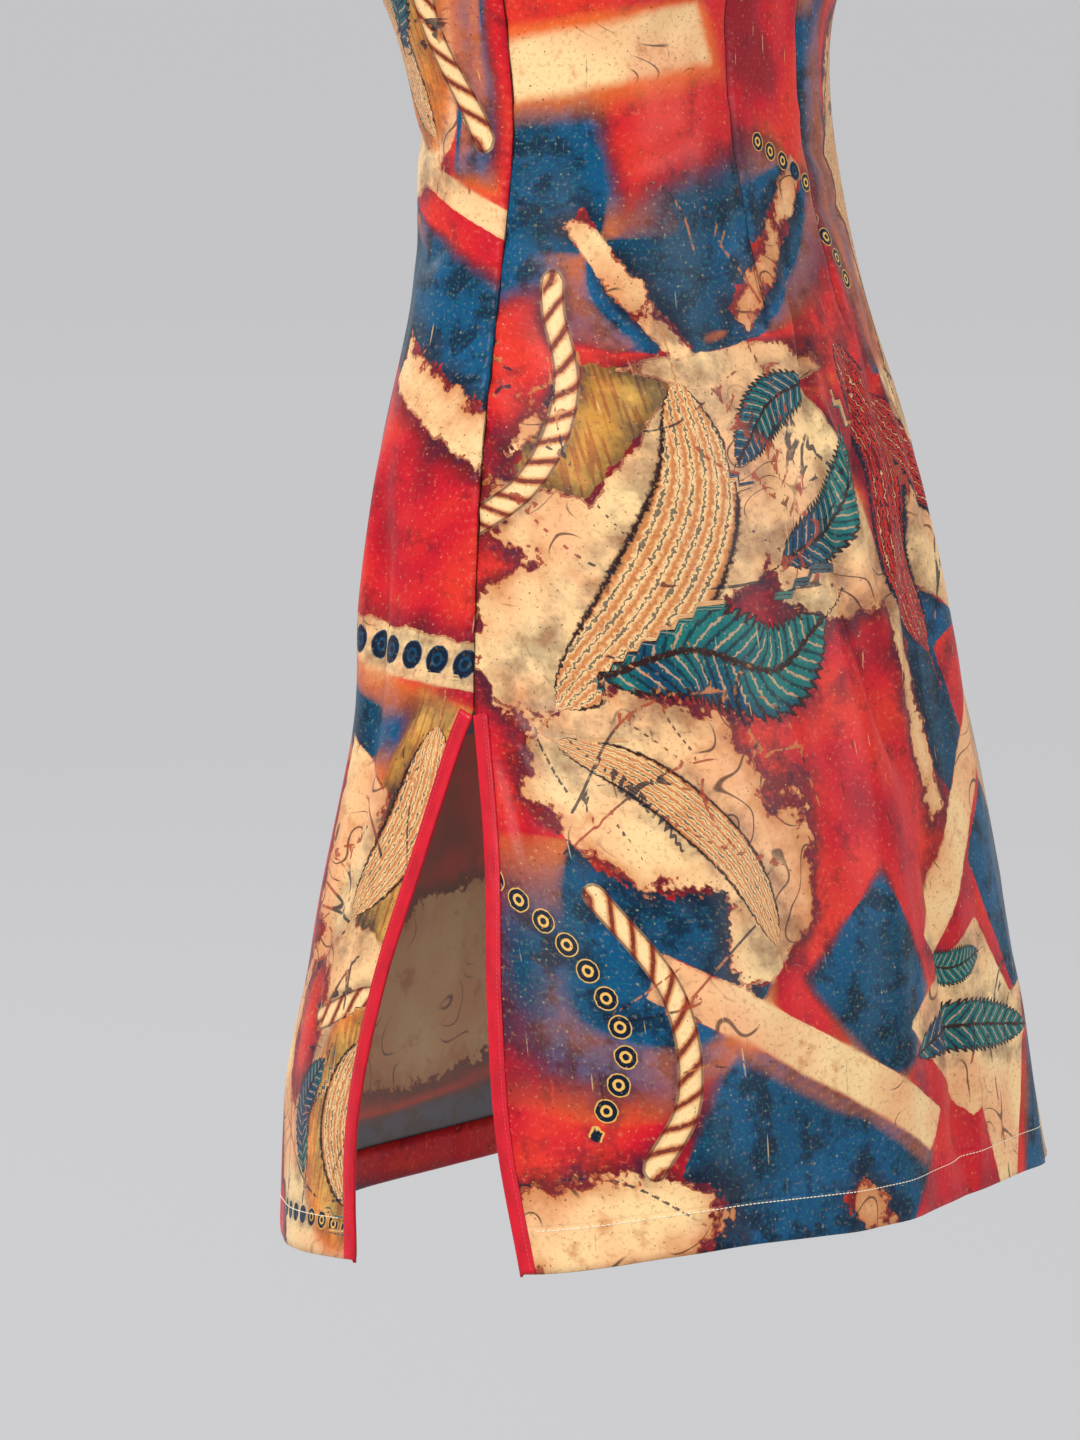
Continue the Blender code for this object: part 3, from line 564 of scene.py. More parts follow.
# broad and slow: where the worn form is fuller or flatter than the plain construction
SWELLS = read_creases("""
front    10   34  14 665  34 665  66 665
front  -4.8   20  50 170  52 80  54 -20
front    -3   16  29 300  30 200  31 100
back   12.5   34  -78 665  -54 665  -24 665
back     -2   20  -48 540  -47 460  -45 360  -44 300
back     -7   22  -44 330  -42 240  -39 150  -36 70
""")
CREASE_DEPTH = 1.35  # how much stronger the worn satin breaks than the table says
CREASE_END = 0.30  # the share of a crease's length in which each end dies away
print("creases:", len(CREASES), "swells:", len(SWELLS))

# %% Distance round the form
ARC_HEIGHTS = (-0.012, 0.98, 125)
ARC_ANGLES = (0, math.pi / 2, 121)


def arc_table(side):
    """How far round the form each angle is from the centre line, at a range of heights."""
    heights = np.linspace(*ARC_HEIGHTS)
    angles = np.linspace(*ARC_ANGLES)
    tables = []
    for sign in (-1, 1):
        spots = form_point(side, sign * angles[None, :], heights[:, None])
        steps = np.linalg.norm(np.diff(spots[..., :2], axis=1), axis=-1)
        tables.append(np.concatenate([np.zeros((len(heights), 1)), np.cumsum(steps, 1)], 1))
    return heights, angles, tables


ARCS = {side: arc_table(side) for side in ("front", "back")}


def arc_length(side, angle, height):
    """The distance round the form from the centre line, to the wearer's left above zero."""
    heights, angles, tables = ARCS[side]
    row = np.clip((height - heights[0]) / (heights[1] - heights[0]), 0, len(heights) - 1.001)
    column = np.clip(np.abs(angle) / angles[1], 0, len(angles) - 1.001)
    i, j = row.astype(int), column.astype(int)
    a, b = row - i, column - j
    found = []
    for table in tables:
        low = table[i, j] * (1 - b) + table[i, j + 1] * b
        high = table[i + 1, j] * (1 - b) + table[i + 1, j + 1] * b
        found.append(low * (1 - a) + high * a)
    return np.where(angle < 0, -found[0], found[1])


for side in ARCS:
    half = float(arc_length(side, np.array(math.pi / 2), np.array(WAIST)))
    print(side, "half at the waist:", round(half, 3), "m")


# %% Lines, and the height of the creases along them
def curve_through(points, steps=10):
    """A smooth line through given points."""
    spots = np.array(points, float)
    spots = np.vstack([2 * spots[0] - spots[1], spots, 2 * spots[-1] - spots[-2]])
    line = []
    for i in range(1, len(spots) - 2):
        t = np.linspace(0, 1, steps, endpoint=False)[:, None]
        before, a, b, after = spots[i - 1 : i + 3]
        line.append(
            0.5 * (2 * a + (b - before) * t + (2 * before - 5 * a + 4 * b - after) * t**2
                   + (3 * a - before - 3 * b + after) * t**3)
        )
    return np.vstack(line + [spots[-2:-1]])


def beside_line(line, u, v):
    """For each (u, v): the distance along a line, the signed distance beside it, and its size."""
    best = np.full(u.shape, np.inf)
    along = np.zeros(u.shape)
    signed = np.zeros(u.shape)
    start = 0.0
    for a, b in zip(line, line[1:]):
        step = b - a
        length = max(float(np.hypot(*step)), 1e-9)
        ahead = ((u - a[0]) * step[0] + (v - a[1]) * step[1]) / length
        side = (step[0] * (v - a[1]) - step[1] * (u - a[0])) / length
        on = np.clip(ahead, 0, length)
        size = np.hypot(ahead - on, side)
        near = size < best
        best = np.where(near, size, best)
        along = np.where(near, start + on, along)
        signed = np.where(near, side, signed)
        start += length
    return along, signed, best, start


BREAKS = [(side, path, rise * CREASE_DEPTH, width) for side, path, rise, width in CREASES]
BREAKS += SWELLS


def crease_height(side, u, v):
    """The sum of a side's creases at places on its cut."""
    total = np.zeros(u.shape)
    for crease_side, path, rise, width in BREAKS:
        if crease_side != side:
            continue
        degrees, heights = np.array(path, float).T
        across = arc_length(side, np.radians(degrees), heights)
        line = curve_through(np.stack([across, heights], 1))
        low, high = line.min(0) - 4 * width, line.max(0) + 4 * width
        here = (u > low[0]) & (u < high[0]) & (v > low[1]) & (v < high[1])
        along, _, size, length = beside_line(line, u[here], v[here])
        ends = smooth(np.minimum(along, length - along) / (CREASE_END * length))
        total[here] += rise * ends * np.exp(-((size / width) ** 2))
    return total


print("creases on the front:", sum(side == "front" for side, *_ in BREAKS))

# %% [markdown]
# ## The print, laid out on the cut
# The cloth is printed before it is cut, so the print is laid out in the cut's own metres: u across
# from the centre line, v up from the hem. Big masses of colour, torn patches and trails of
# ornament are placed one by one, as signed distances at the mesh's corners. The finish turns those
# distances into sharp or torn edges, so its detail is far finer than the mesh.

# %% Masses of colour
def read_masses(text):
    """(colour, form, place, size, tear). An oval has a middle, half sizes and a tilt, a stripe has
    two ends and a width, and a polygon has corners."""
    masses = []
    for colour, form, tear, *numbers in table_rows(text):
        place, size = in_pairs(numbers), 0
        if form == "oval":
            place, halves = place
            size = (*halves, numbers[-1])
        elif form == "stripe":
            size = numbers[-1] / 1000
        masses.append((colour, form, place, size, tear / 1000))
    return masses


# Masses are painted one over another. Columns: colour, form, how far the edge is torn (or, below
# zero, airbrushed), then a stripe's ends and width, a polygon's corners, or an oval's middle, half
# sizes and tilt. All are millimetres on the cut, and degrees.
MASSES = {
    "front": read_masses("""
teal  oval       -14  -190 165  75 60 20
cream oval        11  -108 398  118 56 14
cream oval        12  -30 368  62 48 -10
cream oval        10  -200 318  46 34 30
cream oval        10  105 470  36 150 -6
cream oval        10  115 340  62 80 20
cream oval        10  215 260  56 110 10
cream oval        10  210 460  60 80 30
teal  stripe      -6  -260 690  60 722  36
cream stripe     0.8  -260 640  50 655  26
teal  polygon     -5  -260 565  -150 600  -120 500  -240 470
cream stripe    -3.5  -215 588  -75 612  30
teal  oval       -10  -60 503  98 42 16
cream stripe       9  -150 520  -100 455  12
cream stripe      10  -60 470  20 545  14
teal  stripe      -7  62 640  78 440  34
teal  stripe      -6  150 640  178 360  46
gold  polygon      4  -215 395  -150 452  -110 440  -170 385
red   polygon     -3  -30 440  50 455  55 360  10 345
red   polygon      5  -50 320  35 330  55 200  -60 170
teal  polygon      1  20 345  125 300  58 222  24 250
cream stripe      10  6 350  36 215  16
cream oval        12  -165 246  60 48 -20
cream oval        11  -112 196  22 50 -26
red   polygon      1  60 300  130 320  120 260  85 240
cream stripe       1  8 150  135 300  26
teal  polygon      1  62 190  165 300  200 190  110 110
teal  polygon     -4  -100 150  -40 196  4 122  -50 82
cream stripe       1  -185 158  0 60  24
teal  polygon     -3  -150 127  -5 50  -62 -20  -215 -20  -200 30
cream oval        10  -225 36  62 26 8
cream polygon      1  -30 118  62 160  118 95  45 60
cream polygon      1  40 95  118 120  104 60  82 -10
teal  stripe      -4  160 190  122 -20  50
cream stripe      10  -75 42  -10 -20  15
gold  stripe       3  150 20  330 130  40
teal  polygon      6  230 180  320 150  310 40  250 90
cream oval        11  20 830  110 60 24
teal  stripe      -5  -180 740  170 890  40
gold  stripe       3  60 730  200 770  30
cream polygon      3  -170 940  -50 970  -50 880  -140 840
cream stripe       8  70 960  160 860  22
"""),
    "back": read_masses("""
cream oval        10  -130 680  80 150 6
gold  oval        -6  -150 660  40 110 6
teal  stripe      -6  -180 540  -220 760  24
teal  polygon     -5  -230 470  -60 560  -60 470  -220 400
cream stripe     0.8  -240 500  -50 585  14
cream stripe      11  -250 395  -130 450  22
cream stripe       3  -300 298  -90 312  24
teal  oval       -10  -165 272  70 22 12
gold  polygon     -4  -262 275  -212 290  -186 160  -240 140
cream polygon      6  -215 235  -160 260  -170 170  -220 150
teal  polygon      2  -330 250  -262 240  -240 130  -330 110
cream oval         9  -230 70  100 85 60
gold  oval        -4  -255 75  50 70 10
red   oval         4  -185 110  20 40 20
teal  polygon      1  -100 320  60 380  80 250  -60 220
cream stripe       1  -120 200  120 330  28
cream oval        11  140 420  100 80 -20
cream oval        11  10 450  80 46 20
teal  stripe      -5  50 560  250 460  36
cream stripe       1  0 620  260 520  20
cream oval        12  40 100  100 52 14
teal  polygon      2  120 220  260 260  280 120  160 80
cream stripe      10  110 240  240 60  18
gold  stripe       3  160 320  330 240  30
teal  stripe      -5  -120 6  300 36  34
cream oval        12  20 780  130 70 -16
teal  polygon     -4  -150 860  20 920  60 860  -100 800
teal  oval       -10  60 680  80 30 -20
gold  stripe       3  70 700  180 860  26
cream stripe       6  -140 960  140 930  22
"""),
}
for layout, masses in MASSES.items():
    print(layout, "masses:", len(masses))

# %% Trails of ornament
ROPE, CHAIN, VINE, LEAF, FAN, DRAPE, INK = 1.0, 2.0, 3.0, 5.0, 6.0, 7.0, 8.0
KINDS = {"rope": ROPE, "chain": CHAIN, "vine": VINE, "leaf": LEAF, "fan": FAN, "drape": DRAPE}


def read_trails(text):
    """(kind, width, path). A row that names no kind is plain ink."""
    trails = []
    for row in table_rows(text):
        kind = KINDS[row.pop(0)] if isinstance(row[0], str) else INK
        trails.append((kind, row[0] / 1000, in_pairs(row[1:])))
    return trails


# Kind, width, then a path. Each kind has a repeat of its own. Leaves, fans and drapes fill their
# path once, from its root to its tip.
TRAILS = {
    "front": read_trails("""
fan    52   -200 285  -150 330  -115 385  -110 440
leaf   50   -175 300  -130 312  -85 300  -50 322
leaf   30   -70 352  -30 372  -8 412
leaf   24   -28 440  -60 428  -88 402
rope   13   -255 362  -200 392  -165 440  -160 490
drape  50   18 455  34 400  30 345  52 300
drape  40   45 430  80 390  125 372  165 330
fan    34   120 380  132 310  125 250  150 205
fan    40   110 600  100 540  112 480  98 420
chain  12   -262 205  -225 172  -205 125  -222 85
rope   13   -205 195  -178 150  -176 100  -196 66
leaf   26   -20 102  30 108  116 96
leaf   18   10 146  30 138  60 142
fan    26   -205 268  -165 250  -130 212  -115 168
chain  10   -20 560  35 530  62 480
fan    30   168 160  176 90  150 20
rope   12   190 340  205 260  190 190  215 120
leaf   30   250 330  215 280  225 200
chain  11   190 440  160 400  180 340
vine   32   -60 800  10 840  80 850
fan    36   -60 860  20 850  90 800
rope   14   100 900  60 820  90 740
"""),
    "back": read_trails("""
fan    46   -150 560  -125 620  -140 700  -110 780
rope   15   -190 560  -170 620  -180 700  -150 780
vine   30   -100 590  -85 650  -100 730
leaf   24   -130 600  -150 640  -150 690
chain  15   -300 298  -200 305  -100 311
fan    36   -215 175  -235 220  -232 270
rope   13   -290 30  -295 90  -255 135  -205 120
chain  10   -300 16  -240 20  -170 14
fan    40   -262 30  -240 70  -250 115
leaf   22   -205 40  -195 70  -215 100
leaf   34   0 80  60 110  120 100
drape  40   -80 250  -20 290  50 270
leaf   32   90 460  150 420  200 400
fan    40   60 400  120 420  190 460
rope   13   100 350  160 300  230 310
leaf   34   -50 760  20 800  100 770
chain  11   60 610  140 580  220 530
"""),
}
for layout, trails in TRAILS.items():
    print(layout, "trails:", len(trails))


# %% Brush work and drawn lines
def read_clusters(text):
    """(middle, half sizes, strokes)"""
    return [(*in_pairs(row[:4]), int(row[4])) for row in table_rows(text)]


# loose brush work: middle, half sizes, strokes
CLUSTERS = {
    "front": read_clusters("""
-110 410  95 50  20
-150 240  60 50  16
105 470  30 110  14
115 350  50 60  12
215 260  40 90  12
-200 140  30 40  5
20 830  80 50  14
50 110  60 30  4
-30 370  50 40  8
-60 500  60 30  4
"""),
    "back": read_clusters("""
-125 670  55 120  20
-230 70  70 60  16
140 420  80 60  16
40 100  80 50  14
20 780  100 60  14
-225 220  30 50  8
"""),
}
# long thin drawn arcs: width, then a path
LINES = {
    "front": read_trails("""
1.6  -205 235  -160 285  -90 285  -70 230
1.3  -200 270  -150 225  -105 205
1.3  -215 215  -150 255  -75 262
1.8  -225 400  -165 350  -80 345  -20 385
1.4  -200 440  -130 418  -65 448  -10 440
1.4  -170 455  -175 400  -140 350
1.6  -60 460  -45 410  -62 372
2.4  90 440  120 420  150 430
2.4  85 320  115 330  150 312
2    80 520  100 500  130 510
1.6  -270 55  -215 60  -160 30
1.8  60 125  72 70  84 10
1.8  -60 830  20 800  100 860
"""),
    "back": read_trails("""
1.8  -195 620  -120 600  -70 640
1.6  -190 730  -130 745  -80 710
1.6  -295 120  -240 140  -170 110
1.6  -300 55  -230 30  -160 60
1.8  -232 255  -200 215  -170 200
1.8  70 410  140 470  220 440
1.8  -60 100  20 140  130 120
1.8  -80 790  20 740  120 790
"""),
}
for layout, clusters in CLUSTERS.items():
    print(layout, "brush clusters:", len(clusters), "drawn lines:", len(LINES[layout]))

# %% Distances to the masses
FAR = 0.5
EDGE_REACH = 0.006  # how far an edge's own tear counts, in metres


def stripe_field(ends, width, u, v):
    a, b = np.array(ends)
    length = np.hypot(*(b - a))
    step = (b - a) / length
    ahead = (u - a[0]) * step[0] + (v - a[1]) * step[1]
    side = step[0] * (v - a[1]) - step[1] * (u - a[0])
    return np.minimum(width / 2 - np.abs(side), np.minimum(ahead, length - ahead))


def polygon_field(corners, u, v):
    """Distance inside a polygon whose corners go round clockwise or not, if it bulges outwards."""
    corners = np.array(corners)
    middle = corners.mean(0)
    field = np.full(u.shape, np.inf)
    for a, b in zip(corners, np.roll(corners, -1, 0)):
        step = (b - a) / np.hypot(*(b - a))
        inside = np.sign(step[0] * (middle[1] - a[1]) - step[1] * (middle[0] - a[0]))
        field = np.minimum(field, inside * (step[0] * (v - a[1]) - step[1] * (u - a[0])))
    return field


def oval_field(middle, halves, u, v):
    half_u, half_v, tilt = halves
    turn = math.radians(tilt)
    x = (u - middle[0]) * math.cos(turn) + (v - middle[1]) * math.sin(turn)
    y = -(u - middle[0]) * math.sin(turn) + (v - middle[1]) * math.cos(turn)
    size = np.sqrt((x / half_u) ** 2 + (y / half_v) ** 2)
    return (1 - size) * min(half_u, half_v)


def mass_fields(layout, u, v):
    """Teal, cream and gold fields, above 0 inside, and how torn the edges near a place are."""
    fields = {name: np.full(u.shape, -FAR) for name in ("red", "teal", "cream", "gold")}
    fields["red"][:] = FAR
    weight = np.zeros(u.shape)
    torn = np.zeros(u.shape)
    for colour, form, place, size, tear in MASSES[layout]:
        if form == "stripe":
            field = stripe_field(place, size, u, v)
        elif form == "polygon":
            field = polygon_field(place, u, v)
        else:
            field = oval_field(place, size, u, v)
        for name in fields:
            if name == colour:
                fields[name] = np.maximum(fields[name], field)
            else:
                fields[name] = np.minimum(fields[name], -field)
        left = 1 - smooth(field / EDGE_REACH)
        own = np.exp(-np.abs(field) / EDGE_REACH)
        weight = weight * left + own
        torn = torn * left + own * tear
    return np.stack([fields["teal"], fields["cream"], fields["gold"], torn / weight], -1)


middle = mass_fields("front", np.zeros(1), np.array([WAIST]))[0]
print("at the front's waist: teal, cream, gold, tear", [round(float(f), 4) for f in middle])

# %% Distances to the trails and the brush strokes
NO_TRAIL = 9.0  # half widths: too far from any trail to matter
TRAIL_MARGIN = 0.004
MOTIF_RUN = 10  # what a leaf, fan or drape counts along its whole length
STROKE_STEPS = 14
STROKE_STEP = (0.0020, 0.0058)
STROKE_TAPER = 0.94  # each step of a stroke against the one before
STROKE_WIDTH = (0.0010, 0.0024)
STROKE_LEAN = 0.22  # how far the strokes of one cluster differ in heading, in radians
STROKE_BEND = 0.05
STROKE_CURL = 0.010


def trail_fields(lines, u, v):
    """Along and beside the nearest trail in its own half widths, the distance, and its kind."""
    blank = np.zeros(u.shape)
    found = np.stack([blank, blank + NO_TRAIL, blank + NO_TRAIL, blank], -1)
    for kind, width, line in lines:
        half = width / 2
        margin = 3 * half + TRAIL_MARGIN
        low, high = line.min(0) - margin, line.max(0) + margin
        here = (u > low[0]) & (u < high[0]) & (v > low[1]) & (v < high[1])
        along, signed, size, length = beside_line(line, u[here], v[here])
        run = MOTIF_RUN * along / length if LEAF <= kind <= DRAPE else along / half
        fields = np.stack([run, signed / half, size / half, np.full(size.shape, kind)], -1)
        old = found[here]
        found[here] = np.where((fields[:, 2] < old[:, 2])[:, None], fields, old)
    return found


def brush_strokes(layout, chance):
    """Loose brush lines inside each cluster, nearly side by side like combed strands."""
    strokes = [(kind, width, curve_through(path)) for kind, width, path in LINES[layout]]
    for middle, halves, count in CLUSTERS[layout]:
        lean = chance.uniform(0, math.pi)
        for _ in range(count):
            start = np.array(middle) + chance.uniform(-1, 1, 2) * halves
            heading = lean + chance.normal(0, STROKE_LEAN)
            bend = chance.normal(0, STROKE_BEND)
            curl = chance.normal(0, STROKE_CURL)
            step = chance.uniform(*STROKE_STEP)
            path = [start]
            for _ in range(STROKE_STEPS):
                path.append(path[-1] + step * np.array([math.cos(heading), math.sin(heading)]))
                heading += bend
                bend += curl
                step *= STROKE_TAPER
            strokes.append((INK, chance.uniform(*STROKE_WIDTH), np.array(path)))
    return strokes


PRINT_LINES = {}
for layout in MASSES:
    chance = np.random.default_rng(len(layout))
    trails = [(kind, width, curve_through(path)) for kind, width, path in TRAILS[layout]]
    PRINT_LINES[layout] = (trails, brush_strokes(layout, chance))
    print(layout, "lines to measure to:", sum(len(lines) for lines in PRINT_LINES[layout]))

# %% [markdown]
# ## Panels
# A panel is a grid of places on the form, pushed out by the creases. Its hem is turned up inside
# and its darts take in cloth, so the print jumps across them as it does on real cloth. Because a
# jump needs two values at one point, what the finish reads is stored at the faces' corners.

# %% A panel's grid
SHELL = 0.0007  # thickness of the shown cloth
COLUMNS = 168
SKIRT_ROWS = 78
BODICE_ROWS = 92
UPPER_ROWS = 62
TURNING = (
    # (height above the hem, distance inwards) round the turned hem, from its inner edge
    (0.0215, 0.0011), (0.0160, 0.0013), (0.0100, 0.0014), (0.0050, 0.0015), (0.0014, 0.0014),
    (0.0003, 0.0010), (-0.0002, 0.0005),
)
TURNED = len(TURNING)
FAR_FROM_HEM = 0.05
PATCH_DROP = 0.030  # how far below the opening's end the right half's upper part begins


def patch_height(side, across):
    if side == "back":
        return np.full(across.shape, UNDERARM_HEIGHT)
    drop = (UNDERARM_HEIGHT - (OPENING_END - PATCH_DROP)) * smooth(-across)
    return np.where(across >= 0, UNDERARM_HEIGHT, UNDERARM_HEIGHT - drop)


def upper_rows(side, across, low, top_of, count):
    """(angle, height) rows of the part that ends at the panel's shaped top edge."""
    top_angle, top = top_of(across)
    share = (1 - np.cos(np.linspace(0, 1, count)[:, None] * math.pi)) / 2
    height = low + (top - low) * share
    own = place_on_panel(side, across, height)
    inner = np.abs(across) < 1
    return np.where(inner, own + (top_angle - own) * smooth(share), own), height


def at_shoulder(side, spots, height):
    """Above the underarm a panel stops a little short of the shoulder's seam."""
    facing = -1 if side == "front" else 1
    seam = section(height, "seam_y")
    short = seam + facing * np.maximum(facing * (spots[..., 1] - seam), 1.5 * SEAM_GAP)
    spots[..., 1] = np.where(height > UNDERARM_HEIGHT, short, spots[..., 1])
    return spots


def grid_normals(spots, side):
    across = np.gradient(spots, axis=1)
    up = np.gradient(spots, axis=0)
    normal = np.cross(across, up) * (1 if side == "front" else -1)
    return normal / np.maximum(np.linalg.norm(normal, axis=-1, keepdims=True), 1e-12)


def panel_places(side, top_of):
    across = np.linspace(-1, 1, COLUMNS + 1)
    hem = table_value(HEM, across, HEM_COLUMNS.index(side))
    patch = patch_height(side, across)
    seam_foot = SLIT_TOP + SLIT_TOP_STEP
    heights = [hem + rise for rise, _ in TURNING]
    for row in range(SKIRT_ROWS):
        heights.append(hem + (SLIT_TOP - hem) * row / SKIRT_ROWS)
    heights.append(np.full(across.shape, SLIT_TOP))
    for row in range(BODICE_ROWS):
        heights.append(seam_foot + (patch - seam_foot) * row / BODICE_ROWS)
    heights = np.array(heights)
    angles = place_on_panel(side, across, heights)
    top_angles, top_heights = upper_rows(side, across, patch, top_of, UPPER_ROWS)
    return across, np.vstack([angles, top_angles]), np.vstack([heights, top_heights])


print("rows up a panel:", len(panel_places("back", back_top)[1]), "and", COLUMNS, "faces across")

# %% Darts, grooves and puckers
DARTS = {
    # side: (share of the panel's half width, foot, top, cloth taken in)
    "front": (0.131, 0.470, 0.705, 0.022),
    "back": (0.310, 0.450, 0.720, 0.024),
}
DART_SHAPE = 1.3  # how pointed a dart is
DART_GROOVE = 0.0014
DART_REACH = 0.0024
DART_PUCKER = 0.8  # against a seam's
DART_PUCKER_REACH = 0.006
SEAM_GROOVE = 0.0004
SEAM_REACH = 0.0022
SEAM_PUCKER = 0.00045
SEAM_PUCKER_REACH = 0.007
PUCKERS = 400
PUCKER_LENGTH = 0.0065
HEM_TURNING = 0.021


def dart_width(side, height):
    """How much cloth a dart takes in at a height."""
    _, foot, top, taken = DARTS[side]
    share = np.clip((height - foot) / (top - foot), 0, 1)
    return taken * np.sin(math.pi * share) ** DART_SHAPE


def from_sewing(side, u, heights):
    """Distances to the side seams, above the slits, and to the darts."""
    columns = u.shape[1]
    low, high = u[:, :1], u[:, -1:]
    to_seam = np.where(heights > SLIT_TOP, np.minimum(u - low, high - u), 1.0)
    foot, top = DARTS[side][1:3]
    beyond = np.maximum(np.maximum(foot - heights, heights - top), 0)
    to_dart = np.full(u.shape, 1.0)
    if columns == COLUMNS + 1:
        for column in dart_columns(side):
            to_dart = np.minimum(to_dart, np.hypot(u - u[:, column : column + 1], beyond))
    return to_seam, to_dart


def dart_columns(side):
    step = round(DARTS[side][0] * COLUMNS / 2)
    return COLUMNS // 2 - step, COLUMNS // 2 + step


def shaped(side, angles, heights, inward, chance):
    """Places on the form with creases, grooves and puckers. The first rows are turned inside,
    and take their direction from the row where the outside begins."""
    spots = at_shoulder(side, form_point(side, angles, heights), heights)
    normals = grid_normals(spots[TURNED:], side)
    normals = np.concatenate([np.repeat(normals[:1], TURNED, 0), normals])
    u = arc_length(side, angles, heights)
    to_seam, to_dart = from_sewing(side, u, heights)
    out = crease_height(side, u, heights)
    out -= DART_GROOVE * np.exp(-((to_dart / DART_REACH) ** 2))
    out -= SEAM_GROOVE * np.exp(-((to_seam / SEAM_REACH) ** 2))
    ripple = chance.normal(0, 1, PUCKERS)
    place = np.clip(heights / PUCKER_LENGTH, 0, PUCKERS - 2)
    low = place.astype(int)
    wave = ripple[low] * (1 - place + low) + ripple[low + 1] * (place - low)
    by_seam = np.exp(-to_seam / SEAM_PUCKER_REACH)
    by_dart = DART_PUCKER * np.exp(-to_dart / DART_PUCKER_REACH)
    out += SEAM_PUCKER * wave * (by_seam + by_dart)
    out -= inward
    return spots + normals * out[..., None], u, (to_seam, to_dart)


print("the front's darts take in", [round(float(dart_width("front", h)), 4) for h in (0.5, 0.6)])


# %% From a grid to printed cloth
def corner_values(left, right):
    """Values for each face's four corners, from grids to the left and right of the columns."""
    return np.stack([right[:-1, :-1], left[:-1, 1:], left[1:, 1:], right[1:, :-1]], 2)


def add_cloth(name, spots, side, values):
    """A printed shell through a grid of points, with (left, right) grids of values by name."""
    rows, columns = spots.shape[:2]
    index = np.arange(rows * columns).reshape(rows, columns)
    faces = np.stack([index[:-1, :-1], index[:-1, 1:], index[1:, 1:], index[1:, :-1]], -1)
    order = [0, 3, 2, 1] if side == "back" else [0, 1, 2, 3]
    mesh = new_mesh(name, spots.reshape(-1, 3), faces.reshape(-1, 4)[:, order])
    for key, (left, right) in values.items():
        corners = corner_values(left, right)[:, :, order]
        if key == "cut":
            mesh.uv_layers.new(name="cut").data.foreach_set("uv", corners.reshape(-1))
        else:
            kept = mesh.attributes.new(key, "FLOAT_COLOR", "CORNER")
            kept.data.foreach_set("color", corners.astype(np.float32).reshape(-1))
    mesh.materials.append(PRINTED)
    mesh.materials.append(INSIDE)
    made = new_object(name, mesh)
    wall = thicken(made, SHELL)
    wall.material_offset = 1
    wall.material_offset_rim = 0
    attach(made, "root")
    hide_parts(name)
    return made


def print_values(layout, u, v, shift, hem, sewn, offset=(0.0, 0.0)):
    """Everything the printed finish reads, on each side of the darts."""
    pairs = []
    for move in shift:
        cut_u, cut_v = u + move + offset[0], v + offset[1]
        trails, strokes = PRINT_LINES[layout]
        pairs.append({
            "cut": np.stack([cut_u, cut_v + (2.0 if layout == "back" else 0.0)], -1),
            "masses": mass_fields(layout, cut_u, cut_v),
            "trails": trail_fields(trails, cut_u, cut_v),
            "strokes": trail_fields(strokes, cut_u, cut_v),
            "sewn": np.stack([sewn[0], sewn[1], hem, u * 0 + 1], -1),
        })
    return {key: (pairs[0][key], pairs[1][key]) for key in pairs[0]}

# %% [markdown]
# ## Finishes
# The print is a stack of decisions. Each mass of colour has its own stains, its edge is torn by
# noise of the amount that the layout asks for, and a soft dark halo lies beside each torn edge.
# Ornament and ink are drawn over the masses, and scratches and speckles over everything. A painted
# image would blur up close, but noise and distances stay sharp at any size.

# %% Colours and helpers of the print
CREAM, PEACH, TAN = linear("F0CB92"), linear("E6A978"), linear("BE7440")
GOLD, OCHRE = linear("E2B05A"), linear("C08637")
RED, SCARLET, MAROON = linear("C40F24"), linear("D62F22"), linear("5E0A1A")
TEAL, BLUE, NAVY, SEA = linear("013B58"), linear("034E77"), linear("04162A"), linear("0A6A66")
INK_BROWN, RUST = linear("2B1413"), linear("9A3A24")


def attribute(finish, name, out=1):
    return finish.node("ShaderNodeAttribute", {"attribute_name": name}, None, out)


def turned(finish, place, angle, scale):
    values = {"Vector": place, "Rotation": (0, 0, angle), "Scale": scale}
    return finish.node("ShaderNodeMapping", None, values)


def of_kind(kind, number):
    return (kind > number - 0.5) * (kind < number + 0.5)


print("crimson", [round(c, 3) for c in RED], "teal", [round(c, 3) for c in TEAL])


